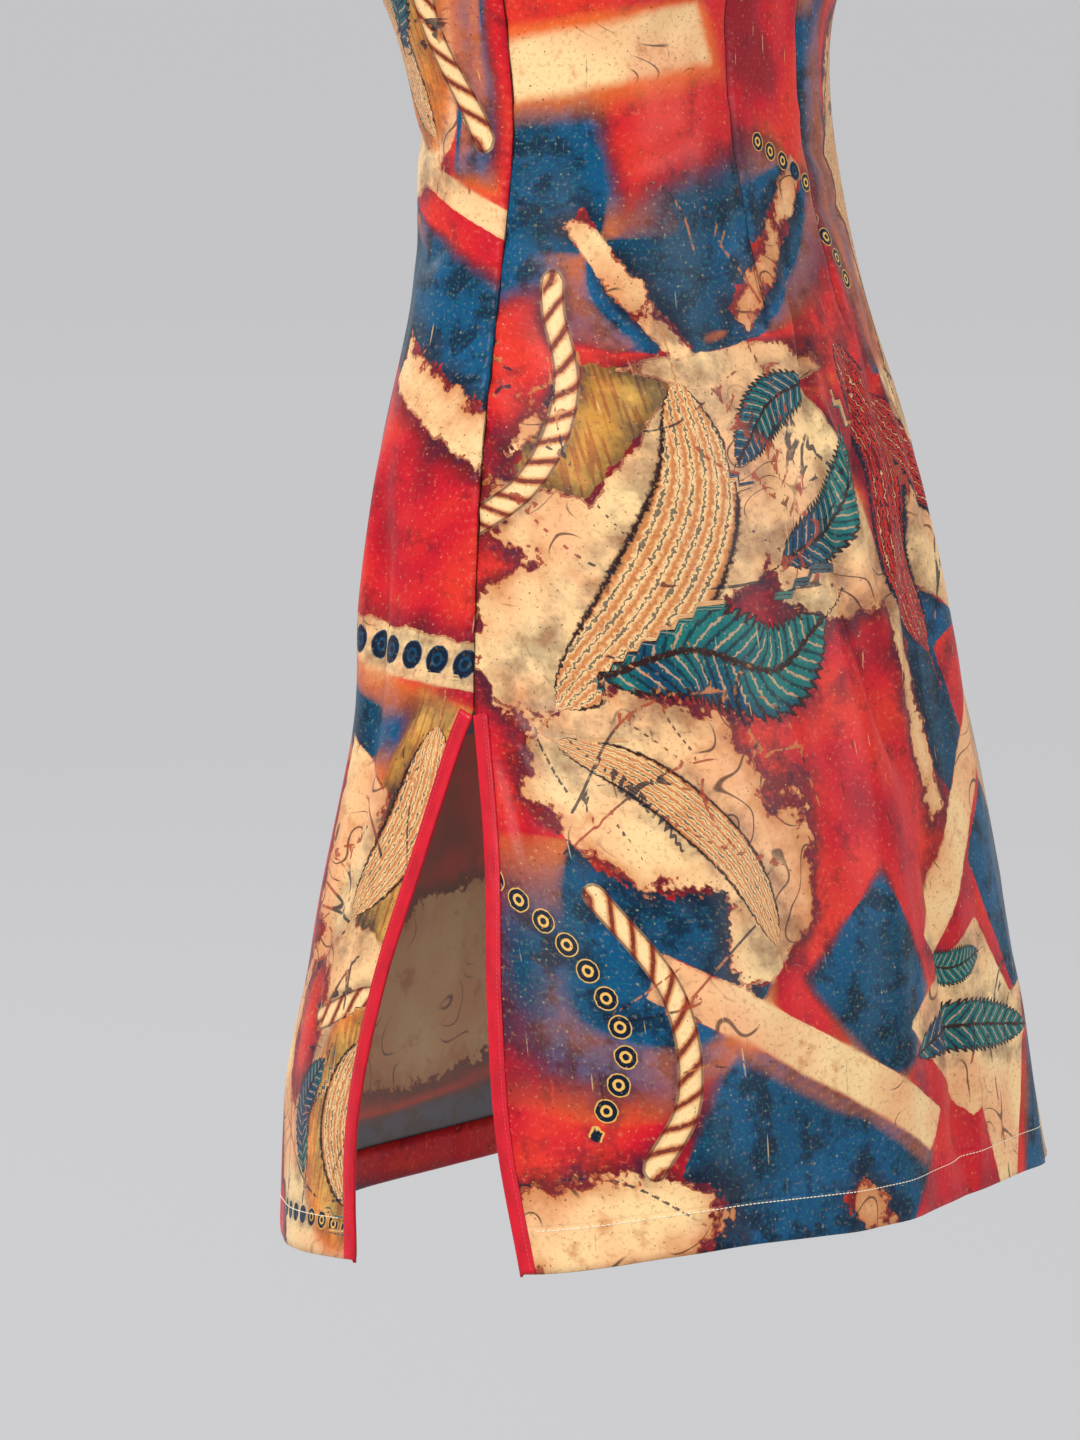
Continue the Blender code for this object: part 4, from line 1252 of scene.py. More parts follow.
# %% Masses of colour, with torn and airbrushed edges
def printed(finish):
    """The print's colour, and the cut's own place."""
    place = finish.node("ShaderNodeUVMap", {"uv_map": "cut"})
    raw = attribute(finish, "masses")
    asked = finish.other(raw, 3)
    tear = asked.higher(0.0)
    blur = (asked * -1.0).higher(0.0) + 0.0003
    teal, cream, gold = finish.parts(raw)

    torn = finish.noise(place, 46.0, 3.0, 0.70) - 0.5
    fine = finish.noise(place, 380.0, 1.0, 0.6) - 0.5
    shift = torn * tear * 3.4 + torn * blur * 2.0 + fine * (tear * 0.5 + 0.0009)
    mottle = finish.noise(place, 14.0, 2.0, 0.55)
    stain = finish.noise(place, 62.0, 3.0, 0.62)
    speck = finish.noise(place, 600.0, 0.0, 0.6)

    # red ground, with dark clouds
    colour = finish.mix(mottle.soft(0.42, 0.62), RED, SCARLET)
    cloud = mottle.soft(0.47, 0.34) * 0.6
    colour = finish.mix(cloud, colour, MAROON)
    colour = finish.mix(stain.soft(0.52, 0.74) * 0.6, colour, MAROON)
    # gold bands, finely hatched
    hatch = finish.noise(turned(finish, place, 0.5, (1.0, 0.1, 1.0)), 420.0, 0.0)
    gold_ink = finish.mix(mottle.soft(0.35, 0.6), GOLD, OCHRE)
    gold_ink = finish.mix(hatch.soft(0.50, 0.62) * 0.55, gold_ink, RUST)
    colour = finish.mix((gold + shift).soft(blur * -1.0, blur), colour, gold_ink)
    # teal masses, some of them airbrushed into their surroundings
    blue = finish.mix(mottle.soft(0.40, 0.60), TEAL, BLUE)
    blue = finish.mix(stain.soft(0.46, 0.62) * 0.8, blue, NAVY)
    blue = finish.mix(speck.soft(0.60, 0.66) * 0.4, blue, SEA)
    brushed = (teal + shift).soft(blur * -2.2, 0.0) * (blur * 300.0).lower(1.0)
    colour = finish.mix(brushed * 0.7, colour, NAVY)
    colour = finish.mix((teal + shift).soft(blur * -1.0, blur), colour, blue)
    # a dark airbrushed halo beside torn cream, and rust inside its edge
    edge = cream + shift
    halo = (edge * -1.0).soft(0.015, 0.0) * (tear * 220.0).lower(1.0)
    colour = finish.mix(halo * 0.78, colour, finish.mix(stain.soft(0.4, 0.6), INK_BROWN, NAVY))
    paper = finish.mix(mottle.soft(0.36, 0.62), CREAM, PEACH)
    paper = finish.mix(stain.soft(0.54, 0.74) * 0.65, paper, TAN)
    deep = edge.soft(0.014, 0.0) * mottle.soft(0.3, 0.6) * (tear * 120.0).lower(1.0)
    paper = finish.mix(deep * 0.8, paper, TAN)
    paper = finish.mix(fine.soft(0.02, 0.20) * 0.15, paper, TAN)
    ink = abs((finish.noise(place, 19.0, 1.0, 0.5) * 11.0).fraction() - 0.5)
    ink = ink.soft(0.06, 0.02) * mottle.soft(0.50, 0.56)
    paper = finish.mix(ink * 0.8, paper, INK_BROWN)
    rim = abs(edge - 0.0006).soft(0.0008, 0.0002) * (tear * 200.0).lower(1.0)
    paper = finish.mix(rim * stain.soft(0.35, 0.5), paper, RUST)
    glow = edge.soft(blur * -4.0, 0.0) * (blur * 300.0).lower(1.0)
    colour = finish.mix(glow * 0.75, colour, linear("E2702A"))
    is_paper = edge.soft(blur * -1.0, blur)
    colour = finish.mix(is_paper, colour, paper)
    return place, colour, (torn, fine, mottle, stain, speck, is_paper)


# %% Ornament
def ornament(finish, colour, noises):
    """Trails and brush strokes over the masses."""
    _, fine, _, stain, _, _ = noises
    raw = attribute(finish, "trails")
    kind = finish.other(raw, 3)
    along, signed, size = finish.parts(raw)
    signed = signed + fine * 0.20
    body = size.soft(1.02, 0.94)
    near = size.soft(1.10, 1.04)
    rim = body * size.soft(0.74, 0.82)
    around = size.soft(1.9, 1.0) * (kind > 0.5) * 0.45
    colour = finish.mix(around * stain.soft(0.35, 0.6), colour, NAVY)
    colour = single_motifs(finish, colour, noises, (kind, along, signed, near))
    colour = repeats(finish, colour, noises, (kind, along, signed, body, near, rim))
    return brushwork(finish, colour, noises)


def single_motifs(finish, colour, noises, trail):
    """Fans, drapes and leaves. t runs from 0 at the root to 1 at the tip."""
    torn, _, mottle, stain, _, _ = noises
    kind, along, signed, near = trail
    t = along * (1 / MOTIF_RUN)
    swell = (t * (1.0 - t) * 4.0).higher(0.0) ** 0.6
    within = abs(signed) / (swell + 0.02)
    threads = abs((signed / (swell * 0.6 + 0.4) * 3.6 + torn * 0.25).fraction() - 0.5)
    inside = within.soft(1.04, 0.94) * near
    outline = within.soft(0.82, 0.90)

    flesh = finish.mix(threads.soft(0.0, 0.5), CREAM, TAN)
    thick = stain * 0.30 - 0.07
    fan = finish.mix((threads - thick).soft(0.04, -0.02) * 0.8, flesh, NAVY)
    fan = finish.mix(outline, fan, INK_BROWN)
    colour = finish.mix(of_kind(kind, FAN) * inside, colour, fan)

    fall = finish.mix(threads.soft(0.05, 0.45), MAROON, SCARLET)
    fall = finish.mix(threads.soft(0.07, 0.02) * stain.soft(0.42, 0.5), fall, PEACH)
    fall = finish.mix(threads.soft(0.38, 0.47), fall, NAVY)
    fall = finish.mix(outline, fall, NAVY)
    colour = finish.mix(of_kind(kind, DRAPE) * inside, colour, fall)

    veins = abs((along * 1.3 + abs(signed) * -1.6).fraction() - 0.5)
    green = finish.mix(mottle.soft(0.4, 0.6), SEA, TEAL)
    green = finish.mix(veins.soft(0.34, 0.46) * 0.8, green, NAVY)
    green = finish.mix(veins.soft(0.10, 0.02) * 0.6, green, PEACH)
    green = finish.mix(abs(signed).soft(0.09, 0.04), green, INK_BROWN)
    lobes = within + abs(veins - 0.25) * 0.9
    leaf = finish.mix(lobes.soft(0.92, 1.0), green, INK_BROWN)
    return finish.mix(of_kind(kind, LEAF) * near * lobes.soft(1.16, 1.08), colour, leaf)


def repeats(finish, colour, noises, trail):
    """Ropes, chains and vines, which repeat all along their paths."""
    torn, is_paper = noises[0], noises[5]
    kind, along, signed, body, near, rim = trail
    strand = (along * 3.0 + signed * 3.2 + torn * 1.5).sine()
    rope = finish.mix(strand.soft(-0.9, 0.4), TAN, CREAM)
    rope = finish.mix(strand.soft(-0.66, -0.92) * 0.85, rope, MAROON)
    rope = finish.mix(abs(signed).soft(0.35, 1.0) * 0.5, rope, RUST)
    rope = finish.mix(rim * 0.65, rope, INK_BROWN)
    colour = finish.mix(of_kind(kind, ROPE) * body, colour, rope)

    link = (along * 0.42).fraction() * 2.4 - 1.2
    radius = (link * link + signed * signed) ** 0.5
    ring = abs(radius - 0.68).soft(0.22, 0.16)
    dot = radius.soft(0.30, 0.24)
    chain = finish.mix(ring, finish.mix(is_paper, GOLD, TEAL), NAVY)
    chain = finish.mix(dot, chain, NAVY)
    colour = finish.mix(of_kind(kind, CHAIN) * near * radius.soft(1.0, 0.92), colour, chain)

    is_vine = of_kind(kind, VINE)
    sway = (along * 1.15).sine() * 0.30
    stem = abs(signed - sway).soft(0.10, 0.05)
    step = (along * 0.36).fraction() * 2.78 - 1.39
    flip = ((along * 0.18).fraction() > 0.5) * 2.0 - 1.0
    lift = signed * flip - 0.48 - step * 0.22
    petal = step * step * 1.25 + lift * lift * 9.0
    petal_ink = finish.mix(is_paper, CREAM, SEA)
    petal_ink = finish.mix(abs(lift).soft(0.05, 0.02), petal_ink, NAVY)
    shown = is_vine * petal.soft(1.02, 0.95) * near
    colour = finish.mix(shown, colour, finish.mix(petal.soft(0.72, 0.82), petal_ink, INK_BROWN))
    return finish.mix(is_vine * stem * near, colour, INK_BROWN)


def brushwork(finish, colour, noises):
    """The loose brush lines."""
    torn, _, mottle, stain, _, is_paper = noises
    _, beside, reach = finish.parts(attribute(finish, "strokes"))
    stroke = abs(beside + torn * 0.6).soft(1.0, 0.7) * (reach < 1.8)
    on_paper = finish.mix(mottle.soft(0.48, 0.52), NAVY, RUST)
    on_colour = finish.mix(stain.soft(0.45, 0.55), TAN, NAVY)
    stroke_ink = finish.mix(is_paper, on_colour, on_paper)
    return finish.mix(stroke * stain.soft(0.34, 0.46) * 0.85, colour, stroke_ink)


# %% Wear, and the cloth's own relief
HEM_STITCH_LINE = 0.0195  # height of the topstitch above the hem


def worn(finish, place, colour, noises):
    """Scratches and speckles that run through every colour of the print."""
    _, fine, _, stain, speck, _ = noises
    for turn, share, code in ((0.9, 0.5, CREAM), (-0.7, 0.6, INK_BROWN)):
        drawn = turned(finish, place, turn, (1.0, 0.07, 1.0))
        scratch = finish.noise(drawn, 420.0, 1.0, 0.6).soft(0.73, 0.77)
        colour = finish.mix(scratch * share * stain.soft(0.42, 0.56), colour, code)
    colour = finish.mix(speck.soft(0.79, 0.83) * 0.45, colour, PEACH)
    colour = finish.mix(fine.soft(0.02, 0.24) * 0.16, colour, INK_BROWN)
    colour = finish.mix(fine.soft(-0.08, -0.26) * 0.10, colour, CREAM)
    return finish.mix(speck.soft(0.24, 0.20) * 0.6, colour, INK_BROWN)


def satin_bump(finish, place):
    """The cloth's grain, the puckers that stitching draws into it, and the mask of the seam and
    dart grooves, which also darkens the colour as painted shade.
    """
    to_seam, to_dart, from_hem = finish.parts(attribute(finish, "sewn"))
    grain = finish.noise(place, 1500.0, 0.0, 0.5) * 0.045
    values = {"Vector": place, "Scale": (1.0, 0.16, 1.0)}
    upright = finish.node("ShaderNodeMapping", None, values)
    at_hem = abs(from_hem - HEM_STITCH_LINE).soft(0.0100, 0.0)
    hem = finish.noise(upright, 330.0, 0.0, 0.5) * at_hem * 0.7
    step = abs(from_hem - HEM_TURNING).soft(0.0016, 0.0) * -0.25
    values = {"Vector": place, "Scale": (0.16, 1.0, 1.0)}
    level = finish.node("ShaderNodeMapping", None, values)
    near = to_seam.lower(to_dart).soft(0.016, 0.0)
    seam = finish.noise(level, 240.0, 0.0, 0.5) * near * 0.9
    slow = finish.noise(turned(finish, place, 0.25, (1.0, 0.35, 1.0)), 52.0, 0.0, 0.5) * 2.2
    groove_and_painted_shade = to_seam.lower(to_dart).soft(0.0006, 0.0001)
    return grain + hem + step + seam + slow - groove_and_painted_shade * 0.5, groove_and_painted_shade


# %% The two sides of the printed satin
def printed_satin():
    finish = Finish("printed_satin")
    place, colour, noises = printed(finish)
    colour = ornament(finish, colour, noises)
    colour = worn(finish, place, colour, noises)
    bump, groove_and_painted_shade = satin_bump(finish, place)
    # painted shade: the seam and dart grooves are darkened in the colour, as shade would fall in
    # them
    colour = finish.mix(groove_and_painted_shade * 0.6, colour, linear("1C0D0E"))
    gloss = 0.34 + noises[3] * 0.10
    look = {"Specular IOR Level": 0.17}
    return finish.end(colour, gloss, bump, 0.001, **look)


def wrong_side():
    """The print's back: the same masses, paler and duller, where the dye came through."""
    finish = Finish("printed_satin_inside")
    _, colour, _ = printed(finish)
    colour = finish.mix(0.38, colour, linear("B09A88"))
    return finish.end(colour, 0.75)


PRINTED = printed_satin()
INSIDE = wrong_side()
print("nodes in the print:", len(PRINTED.node_tree.nodes))


# %% Crimson satin and thread
def crimson_satin(name, code, grain_scale, pucker):
    """Tape or cord: its grain runs along it, in the strip's own map."""
    finish = Finish(name)
    place = finish.node("ShaderNodeUVMap", {"uv_map": "cut"})
    stretched = finish.node("ShaderNodeMapping", None, {"Vector": place, "Scale": (1.0, 0.22, 1.0)})
    draw = finish.noise(stretched, 260.0, 2.0, 0.5)
    grain = finish.noise(place, grain_scale, 2.0, 0.6)
    colour = finish.mix(draw.soft(0.35, 0.7) * 0.5, linear(code), linear("96081A"))
    colour = finish.mix(grain.soft(0.55, 0.7) * 0.25, colour, linear("E2304A"))
    look = {"Specular IOR Level": 0.3}
    return finish.end(colour, 0.36, grain * 0.05 + draw * pucker, 0.001, **look)


TAPE_FINISH = crimson_satin("crimson_binding", "CC0D26", 1400.0, 0.45)
CORD_FINISH = crimson_satin("crimson_cord", "BC0C22", 1600.0, 0.10)
THREAD = Finish("sewing_thread_crimson").end((*linear("E04458"), 1.0), 0.55)
HEM_THREAD = Finish("sewing_thread_cream").end((*linear("F4E6CC"), 1.0), 0.6)
print("finishes:", len(bpy.data.materials))

# %% [markdown]
# ## The two panels
# Front and back run from the hem to the neck. The front's right half ends on the diagonal opening.
# Each could be cut flat and bent round, but here every corner of its grid is put straight on the
# form, and the flat cut is measured back from it, so the print lies as it would on real cloth.

# %% Front and back
def turned_print(side, heights, across):
    """How high on the cut each row lies: the turned hem continues below the fold."""
    hem = table_value(HEM, across, HEM_COLUMNS.index(side))[None, :]
    folded = heights.copy()
    folded[:TURNED] = 2 * hem - heights[:TURNED]
    return folded, heights - hem


def panel(name, side, top_of, seed):
    across, angles, heights = panel_places(side, top_of)
    inward = np.zeros(heights.shape)
    inward[:TURNED] = np.array([sink for _, sink in TURNING])[:, None]
    chance = np.random.default_rng(seed)
    spots, u, sewn = shaped(side, angles, heights, inward, chance)
    v, from_hem = turned_print(side, heights, across)
    from_hem[:TURNED] = FAR_FROM_HEM
    low, high = dart_columns(side)
    index = np.arange(COLUMNS + 1)[None, :]
    taken = dart_width(side, heights)
    left = taken * ((index > high) * 1.0 - (index <= low))
    right = taken * ((index >= high) * 1.0 - (index < low))
    values = print_values(side, u, v, (left, right), from_hem, sewn)
    made = add_cloth(name, spots, side, values)
    print(name, "faces:", len(made.data.polygons))
    return spots


front_spots = panel("front_panel", "front", front_top, 3)
back_spots = panel("back_panel", "back", back_top, 5)

# %% [markdown]
# ## The under-front
# A small piece of the same satin closes the front behind the diagonal opening and carries the
# frogs' loops. It could be a copy of the front, moved inwards, but then it would show as a step at
# the armhole. So its own grid lies deep below the opening's edge and comes up to the form above it.

# %% The under-front
UNDER_COLUMNS = 84
LOW_ROWS = 12  # between the hidden lower edge and the line that the upper rows start from
UNDER_RISE = 0.008  # how much higher that line lies at the centre
UNDER_START = 0.0012  # how far above the opening's edge it begins to come up
UNDER_CUT = (0.11, -0.12)  # where on the printed length it is cut from


def underlap():
    across = np.linspace(-1, 0, UNDER_COLUMNS + 1)
    line = opening_line(across)[1]
    foot = line - OPENING_OVERLAP
    middle = foot + (UNDERARM_HEIGHT - foot[0]) * -across + UNDER_RISE * (1 + across)
    low = foot + (middle - foot) * np.linspace(0, 1, LOW_ROWS, endpoint=False)[:, None]
    even = np.linspace(0, 1, UPPER_ROWS)[:, None]
    drawn = (1 - np.cos(even * math.pi)) / 2
    share = drawn + (even - drawn) * (1 + across) ** 2
    top_angle, top = underlap_top(across)
    high = middle + (top - middle) * share
    heights = np.vstack([low, high])
    angles = place_on_panel("front", across, heights)
    inner = np.abs(across) < 1
    own = angles[LOW_ROWS:]
    angles[LOW_ROWS:] = np.where(inner, own + (top_angle - own) * smooth(share), own)
    above = heights - opening_line(angles / (math.pi / 2))[1]
    sink = UNDERLAP_DEPTH * (1 - smooth((above - UNDER_START) / OPENING_RISE))
    spots = at_shoulder("front", form_point("front", angles, heights), heights)
    normals = grid_normals(spots, "front")
    u = arc_length("front", angles, heights)
    lift = crease_height("front", u, heights) * (above > 0)
    spots = spots + normals * (lift - sink)[..., None]
    far = np.ones(u.shape)
    none = np.zeros(u.shape)
    values = print_values("front", u, heights, (none, none), far, (far, far), UNDER_CUT)
    add_cloth("front_underlap", spots, "front", values)
    return spots


under_spots = underlap()
print("under-front grid:", under_spots.shape[:2])

# %% [markdown]
# ## The stand collar
# A straight band stands on the neck seam, leans in a little and ends in two round corners. It could
# be pushed up from the neck's edge as it is; a grid that is shortened towards its ends gives the
# round corners and leaves a map for the print.

# %% The stand collar
COLLAR_ROWS = 12
COLLAR_COLUMNS = 150
COLLAR_BACK_HEIGHT = 0.044
COLLAR_FRONT_HEIGHT = 0.038
COLLAR_LEAN = 0.14
COLLAR_GAP = 0.004
COLLAR_CORNER = 0.014
COLLAR_SEAT = 0.0018
COLLAR_TUCK = 0.0006  # how far its foot goes down into the neck seam
COLLAR_CUT = (0.02, 0.36)
CORNER_STEPS = 12
NECK_STEPS = 60


class Path:
    """A line of points in space that can be asked for the point at a distance along it."""

    def __init__(self, points):
        self.points = np.array(points, float)
        steps = np.linalg.norm(np.diff(self.points, axis=0), axis=1)
        self.marks = np.concatenate([[0.0], np.cumsum(steps)])
        self.length = float(self.marks[-1])

    def at(self, distance):
        return np.stack([np.interp(distance, self.marks, self.points[:, i]) for i in range(3)], -1)


def neck_path():
    steps = NECK_STEPS
    runs = (
        ("front", -NECK_ACROSS * np.arange(steps) / steps, FRONT_NECK_DROP),
        ("back", NECK_ACROSS * (np.arange(2 * steps) / steps - 1), BACK_NECK_DROP),
        ("front", NECK_ACROSS * (1 - np.arange(steps + 1) / steps), FRONT_NECK_DROP),
    )
    return Path(np.vstack([form_point(s, *neck_and_shoulder(a, drop)) for s, a, drop in runs]))


def collar_grid():
    line = neck_path()
    bend = COLLAR_CORNER * (1 - np.cos(np.linspace(0, math.pi / 2, CORNER_STEPS)))
    inner = line.length - 2 * COLLAR_GAP
    run = np.linspace(COLLAR_CORNER, inner - COLLAR_CORNER, COLLAR_COLUMNS)[1:-1]
    distance = COLLAR_GAP + np.concatenate([bend, run, inner - bend[::-1]])
    end = np.minimum(distance, line.length - distance)
    taller = COLLAR_BACK_HEIGHT - COLLAR_FRONT_HEIGHT
    height = COLLAR_FRONT_HEIGHT + taller * smooth(2 * end / line.length)
    short = np.maximum(COLLAR_CORNER - (end - COLLAR_GAP), 0)
    height = height - COLLAR_CORNER + np.sqrt(COLLAR_CORNER**2 - short**2)
    base = line.at(distance)
    inward = line.points.mean(0) - base
    inward[:, 2] = 0
    inward /= np.linalg.norm(inward, axis=1, keepdims=True)
    rise = (np.array([0, 0, 1.0]) + inward * COLLAR_LEAN) * height[:, None]
    share = np.linspace(0, 1, COLLAR_ROWS + 1)[:, None, None]
    seat = np.where(share > 0, COLLAR_SEAT, -COLLAR_TUCK) * np.array([0, 0, 1.0])
    spots = base + seat + rise * share
    u = distance - line.length / 2 + 0 * share[..., 0]
    return spots, u, height * share[..., 0]


def collar():
    spots, u, v = collar_grid()
    far = np.ones(u.shape)
    none = np.zeros(u.shape)
    values = print_values("front", u, v, (none, none), far, (far, far), COLLAR_CUT)
    add_cloth("collar", spots, "back", values)
    return spots


collar_spots = collar()
print("neck seam:", round(neck_path().length, 3), "m")

# %% [markdown]
# ## Bindings
# A bias tape is folded over each open edge. It is built as a strip that goes from its turned-in
# edge on the outside, round the cloth's edge, to its turned-in edge on the inside. A tube along the
# edge would be quicker, but it would look like piping and stand off the curved cloth. Here each
# point of the strip is set down on the cloth that is nearest to it.

# %% A strip folded over an edge
TAPE_SHELL = 0.00045
TAPE_STEP = 0.0024  # between stations along a tape
TAPE_GRAIN = 0.0009  # map distance between its lengthwise lines
TAPE_PUCKER = 0.00012
PUCKER_BLEND = [0.2, 0.3, 0.3, 0.2]  # evens the puckers out over neighbouring stations
SEAM_SHARE = 0.74  # where the edge stitch runs, as a share of the width
PROFILE = (
    # (share of the width in from the edge, extra distance in, level above the cloth)
    (1.00, 0.0000, 0.00052), (1.00, -0.0002, 0.00085), (0.92, 0.0000, 0.00104),
    (SEAM_SHARE, 0.0000, 0.00096), (0.50, 0.0000, 0.00104), (0.26, 0.0000, 0.00112),
    (0.06, 0.0000, 0.00104), (0.00, -0.0006, 0.00078), (0.00, -0.00095, 0.00035),
)


def surface(*grids):
    points, faces = [], []
    for grid in grids:
        rows, columns = grid.shape[:2]
        index = np.arange(rows * columns).reshape(rows, columns) + len(points)
        points += [tuple(p) for p in grid.reshape(-1, 3)]
        quads = np.stack([index[:-1, :-1], index[:-1, 1:], index[1:, 1:], index[1:, :-1]], -1)
        faces += [tuple(int(i) for i in quad) for quad in quads.reshape(-1, 4)]
    return BVHTree.FromPolygons(points, faces)


def even_edge(points, normals, spacing, closed=False):
    """The same edge with evenly spaced stations."""
    points, normals = np.array(points), np.array(normals)
    if closed:
        points = np.vstack([points, points[:1]])
        normals = np.vstack([normals, normals[:1]])
    path = Path(points)
    count = max(int(path.length / spacing), 4)
    marks = np.linspace(0, path.length, count + 1)[: count if closed else None]
    facing = np.stack([np.interp(marks, path.marks, normals[:, i]) for i in range(3)], -1)
    return path.at(marks), facing / np.linalg.norm(facing, axis=1, keepdims=True), marks


def fold_tape(name, tree, edge, width, inward, seed, closed=False):
    """The strip, its outer seam line and that line's directions."""
    points, normals, marks = even_edge(*edge, TAPE_STEP, closed)
    if closed:
        ahead = np.roll(points, -1, 0) - np.roll(points, 1, 0)
    else:
        ahead = np.gradient(points, axis=0)
    ahead /= np.linalg.norm(ahead, axis=1, keepdims=True)
    across = np.cross(ahead, normals)
    across *= math.copysign(1, float(across[0] @ np.array(inward, float)))
    chance = np.random.default_rng(seed)
    pucker = np.convolve(chance.normal(0, 1, len(points) + 4), PUCKER_BLEND, "same")[2:-2]
    outside, inside, seam, seam_out = [], [], [], []
    for spot, normal, side, ripple in zip(points, normals, across, pucker):
        outer_row, inner_row = [], []
        for share, extra, level in PROFILE:
            distance = share * width + extra
            base, facing = Vector(spot + side * distance), Vector(normal)
            if distance > 0:
                base, found, _, _ = tree.find_nearest(base)
                found = -found if found.dot(facing) < 0 else found
                facing = (facing + found).normalized()
            swell = level + TAPE_PUCKER * ripple * math.sin(math.pi * min(share, 1.0))
            outer_row.append(base + facing * swell)
            inner_row.append(base - facing * level)
            if share == SEAM_SHARE:
                seam.append(base + facing * (swell + TAPE_SHELL / 2))
                seam_out.append(facing)
        outside.append(outer_row)
        inside.append(inner_row)
    rows = [a + b[::-1] for a, b in zip(outside, inside)]
    count, sides = len(rows), len(rows[0])
    flat_points = [p for row in rows for p in row]
    faces, maps = [], []
    for i in range(count if closed else count - 1):
        j = (i + 1) % count
        for k in range(sides - 1):
            faces.append((i * sides + k, i * sides + k + 1, j * sides + k + 1, j * sides + k))
            here, there = marks[i], marks[i] + TAPE_STEP
            low, high = k * TAPE_GRAIN, (k + 1) * TAPE_GRAIN
            maps += [(low, here), (high, here), (high, there), (low, there)]
    mesh = new_mesh(name, flat_points, faces)
    mesh.uv_layers.new(name="cut").data.foreach_set("uv", np.array(maps).reshape(-1))
    mesh.materials.append(TAPE_FINISH)
    made = new_object(name, mesh)
    thicken(made, TAPE_SHELL)
    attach(made, "root")
    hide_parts(name)
    return made, np.array(seam), np.array(seam_out)


print("lines along a tape:", 2 * len(PROFILE))

# %% Stitches
EDGE_STITCH = (0.0023, 0.0019, 0.00016)  # pitch, length, radius
HEM_STITCH = (0.0025, 0.0020, 0.00026)
STITCH_SIDES = 6
STITCH_SHAPE = (
    # (place along the stitch, share of its radius)
    (-0.5, 0.25), (-0.42, 0.8), (-0.2, 1.0), (0.2, 1.0), (0.42, 0.8), (0.5, 0.25),
)
STITCH_FLATNESS = 0.75
STITCH_LIFT = 0.5  # radii that its middle stands above the cloth
STITCH_DIVE = 1.1  # radii that its ends go down from there


def stitches(name, lines, pitch, length, radius, material):
    """One mesh of short rounded stitches laid along lines of (points, outward directions)."""
    ring, stations = STITCH_SIDES, STITCH_SHAPE
    turns = np.linspace(0, 2 * math.pi, ring, endpoint=False)
    points, faces = [], []
    for line, facing in lines:
        path = Path(line)
        for mark in np.arange(pitch, path.length - pitch, pitch):
            a, b = path.at(mark - length / 2), path.at(mark + length / 2)
            middle, ahead = (a + b) / 2, (b - a) / np.linalg.norm(b - a)
            out = np.array([np.interp(mark, path.marks, facing[:, i]) for i in range(3)])
            out -= ahead * (out @ ahead)
            out /= np.linalg.norm(out)
            side = np.cross(ahead, out)
            start = len(points)
            for place, size in stations:
                lift = STITCH_LIFT * radius - STITCH_DIVE * radius * (2 * abs(place)) ** 3
                heart = middle + ahead * place * length + out * lift
                for turn in turns:
                    ray = side * math.cos(turn) + out * STITCH_FLATNESS * math.sin(turn)
                    points.append(heart + ray * radius * size)
            for i in range(len(stations) - 1):
                for k in range(ring):
                    j = (k + 1) % ring
                    low, high = start + i * ring, start + (i + 1) * ring
                    faces.append((low + k, low + j, high + j, high + k))
            faces.append(tuple(start + k for k in range(ring))[::-1])
            faces.append(tuple(start + (len(stations) - 1) * ring + k for k in range(ring)))
    mesh = new_mesh(name, points, faces)
    mesh.materials.append(material)
    made = new_object(name, mesh)
    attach(made, "root")
    return made


print("stitches in a metre of binding:", round(1 / EDGE_STITCH[0]))

# %% Every open edge bound
BINDING = 0.0075
ARMHOLE_BINDING = 0.006
BELOW_HEM = 0.0016  # how far a slit's tape goes on below the hem
RESTS = {"opening_binding": "front_panel", "collar_binding": "collar"}
RESTS["armhole_binding_right"] = RESTS["armhole_binding_left"] = "back_panel"


def bind(name, tree, edge, width, inward, seed, closed=False):
    """A folded tape, stitched near its turned-in edge."""
    made, seam, facing = fold_tape(name, tree, edge, width, inward, seed, closed)
    sewn = stitches(f"{name}_stitches", [(seam, facing)], *EDGE_STITCH, THREAD)


front_tree = surface(front_spots[TURNED:])
back_tree = surface(back_spots[TURNED:])
rows = slice(TURNED, TURNED + SKIRT_ROWS + 1)
seed = 20
for hand, column, into in (("right", 0, 1), ("left", -1, -1)):
    for side, grid, tree in (("front", front_spots, front_tree), ("back", back_spots, back_tree)):
        name = f"slit_binding_{side}_{hand}"
        RESTS[name] = f"{side}_panel"
        line = grid[rows, column].copy()
        facing = grid_normals(grid[TURNED:], side)[: SKIRT_ROWS + 1, column]
        below = line[0] + (line[0] - line[1]) / np.linalg.norm(line[0] - line[1]) * BELOW_HEM
        line, facing = np.vstack([below[None], line]), np.vstack([facing[:1], facing])
        inward = grid[TURNED + 2, column + into] - grid[TURNED + 2, column]
        bind(name, tree, (line, facing), BINDING, inward, seed)
        seed += 1

half = COLUMNS // 2
top_facing = grid_normals(front_spots[TURNED:], "front")[-1, : half + 1]
top_line = front_spots[-1, : half + 1].copy()
top_line[0] = top_line[0] * 0.95 + top_line[1] * 0.05
opening_edge = (top_line, top_facing)
bind("opening_binding", front_tree, opening_edge, BINDING, (0, 0, -1), 31)


def armhole_edge(front_grid, back_grid, column, front_low):
    """Up the front, over the shoulder and down the back."""
    front_face = grid_normals(front_grid, "front")[:, column]
    back_face = grid_normals(back_grid, "back")[:, column]
    back_low = len(back_grid) - UPPER_ROWS
    points = np.vstack([front_grid[front_low:, column], back_grid[: back_low - 1 : -1, column]])
    facing = np.vstack([front_face[front_low:], back_face[: back_low - 1 : -1]])
    return points, facing


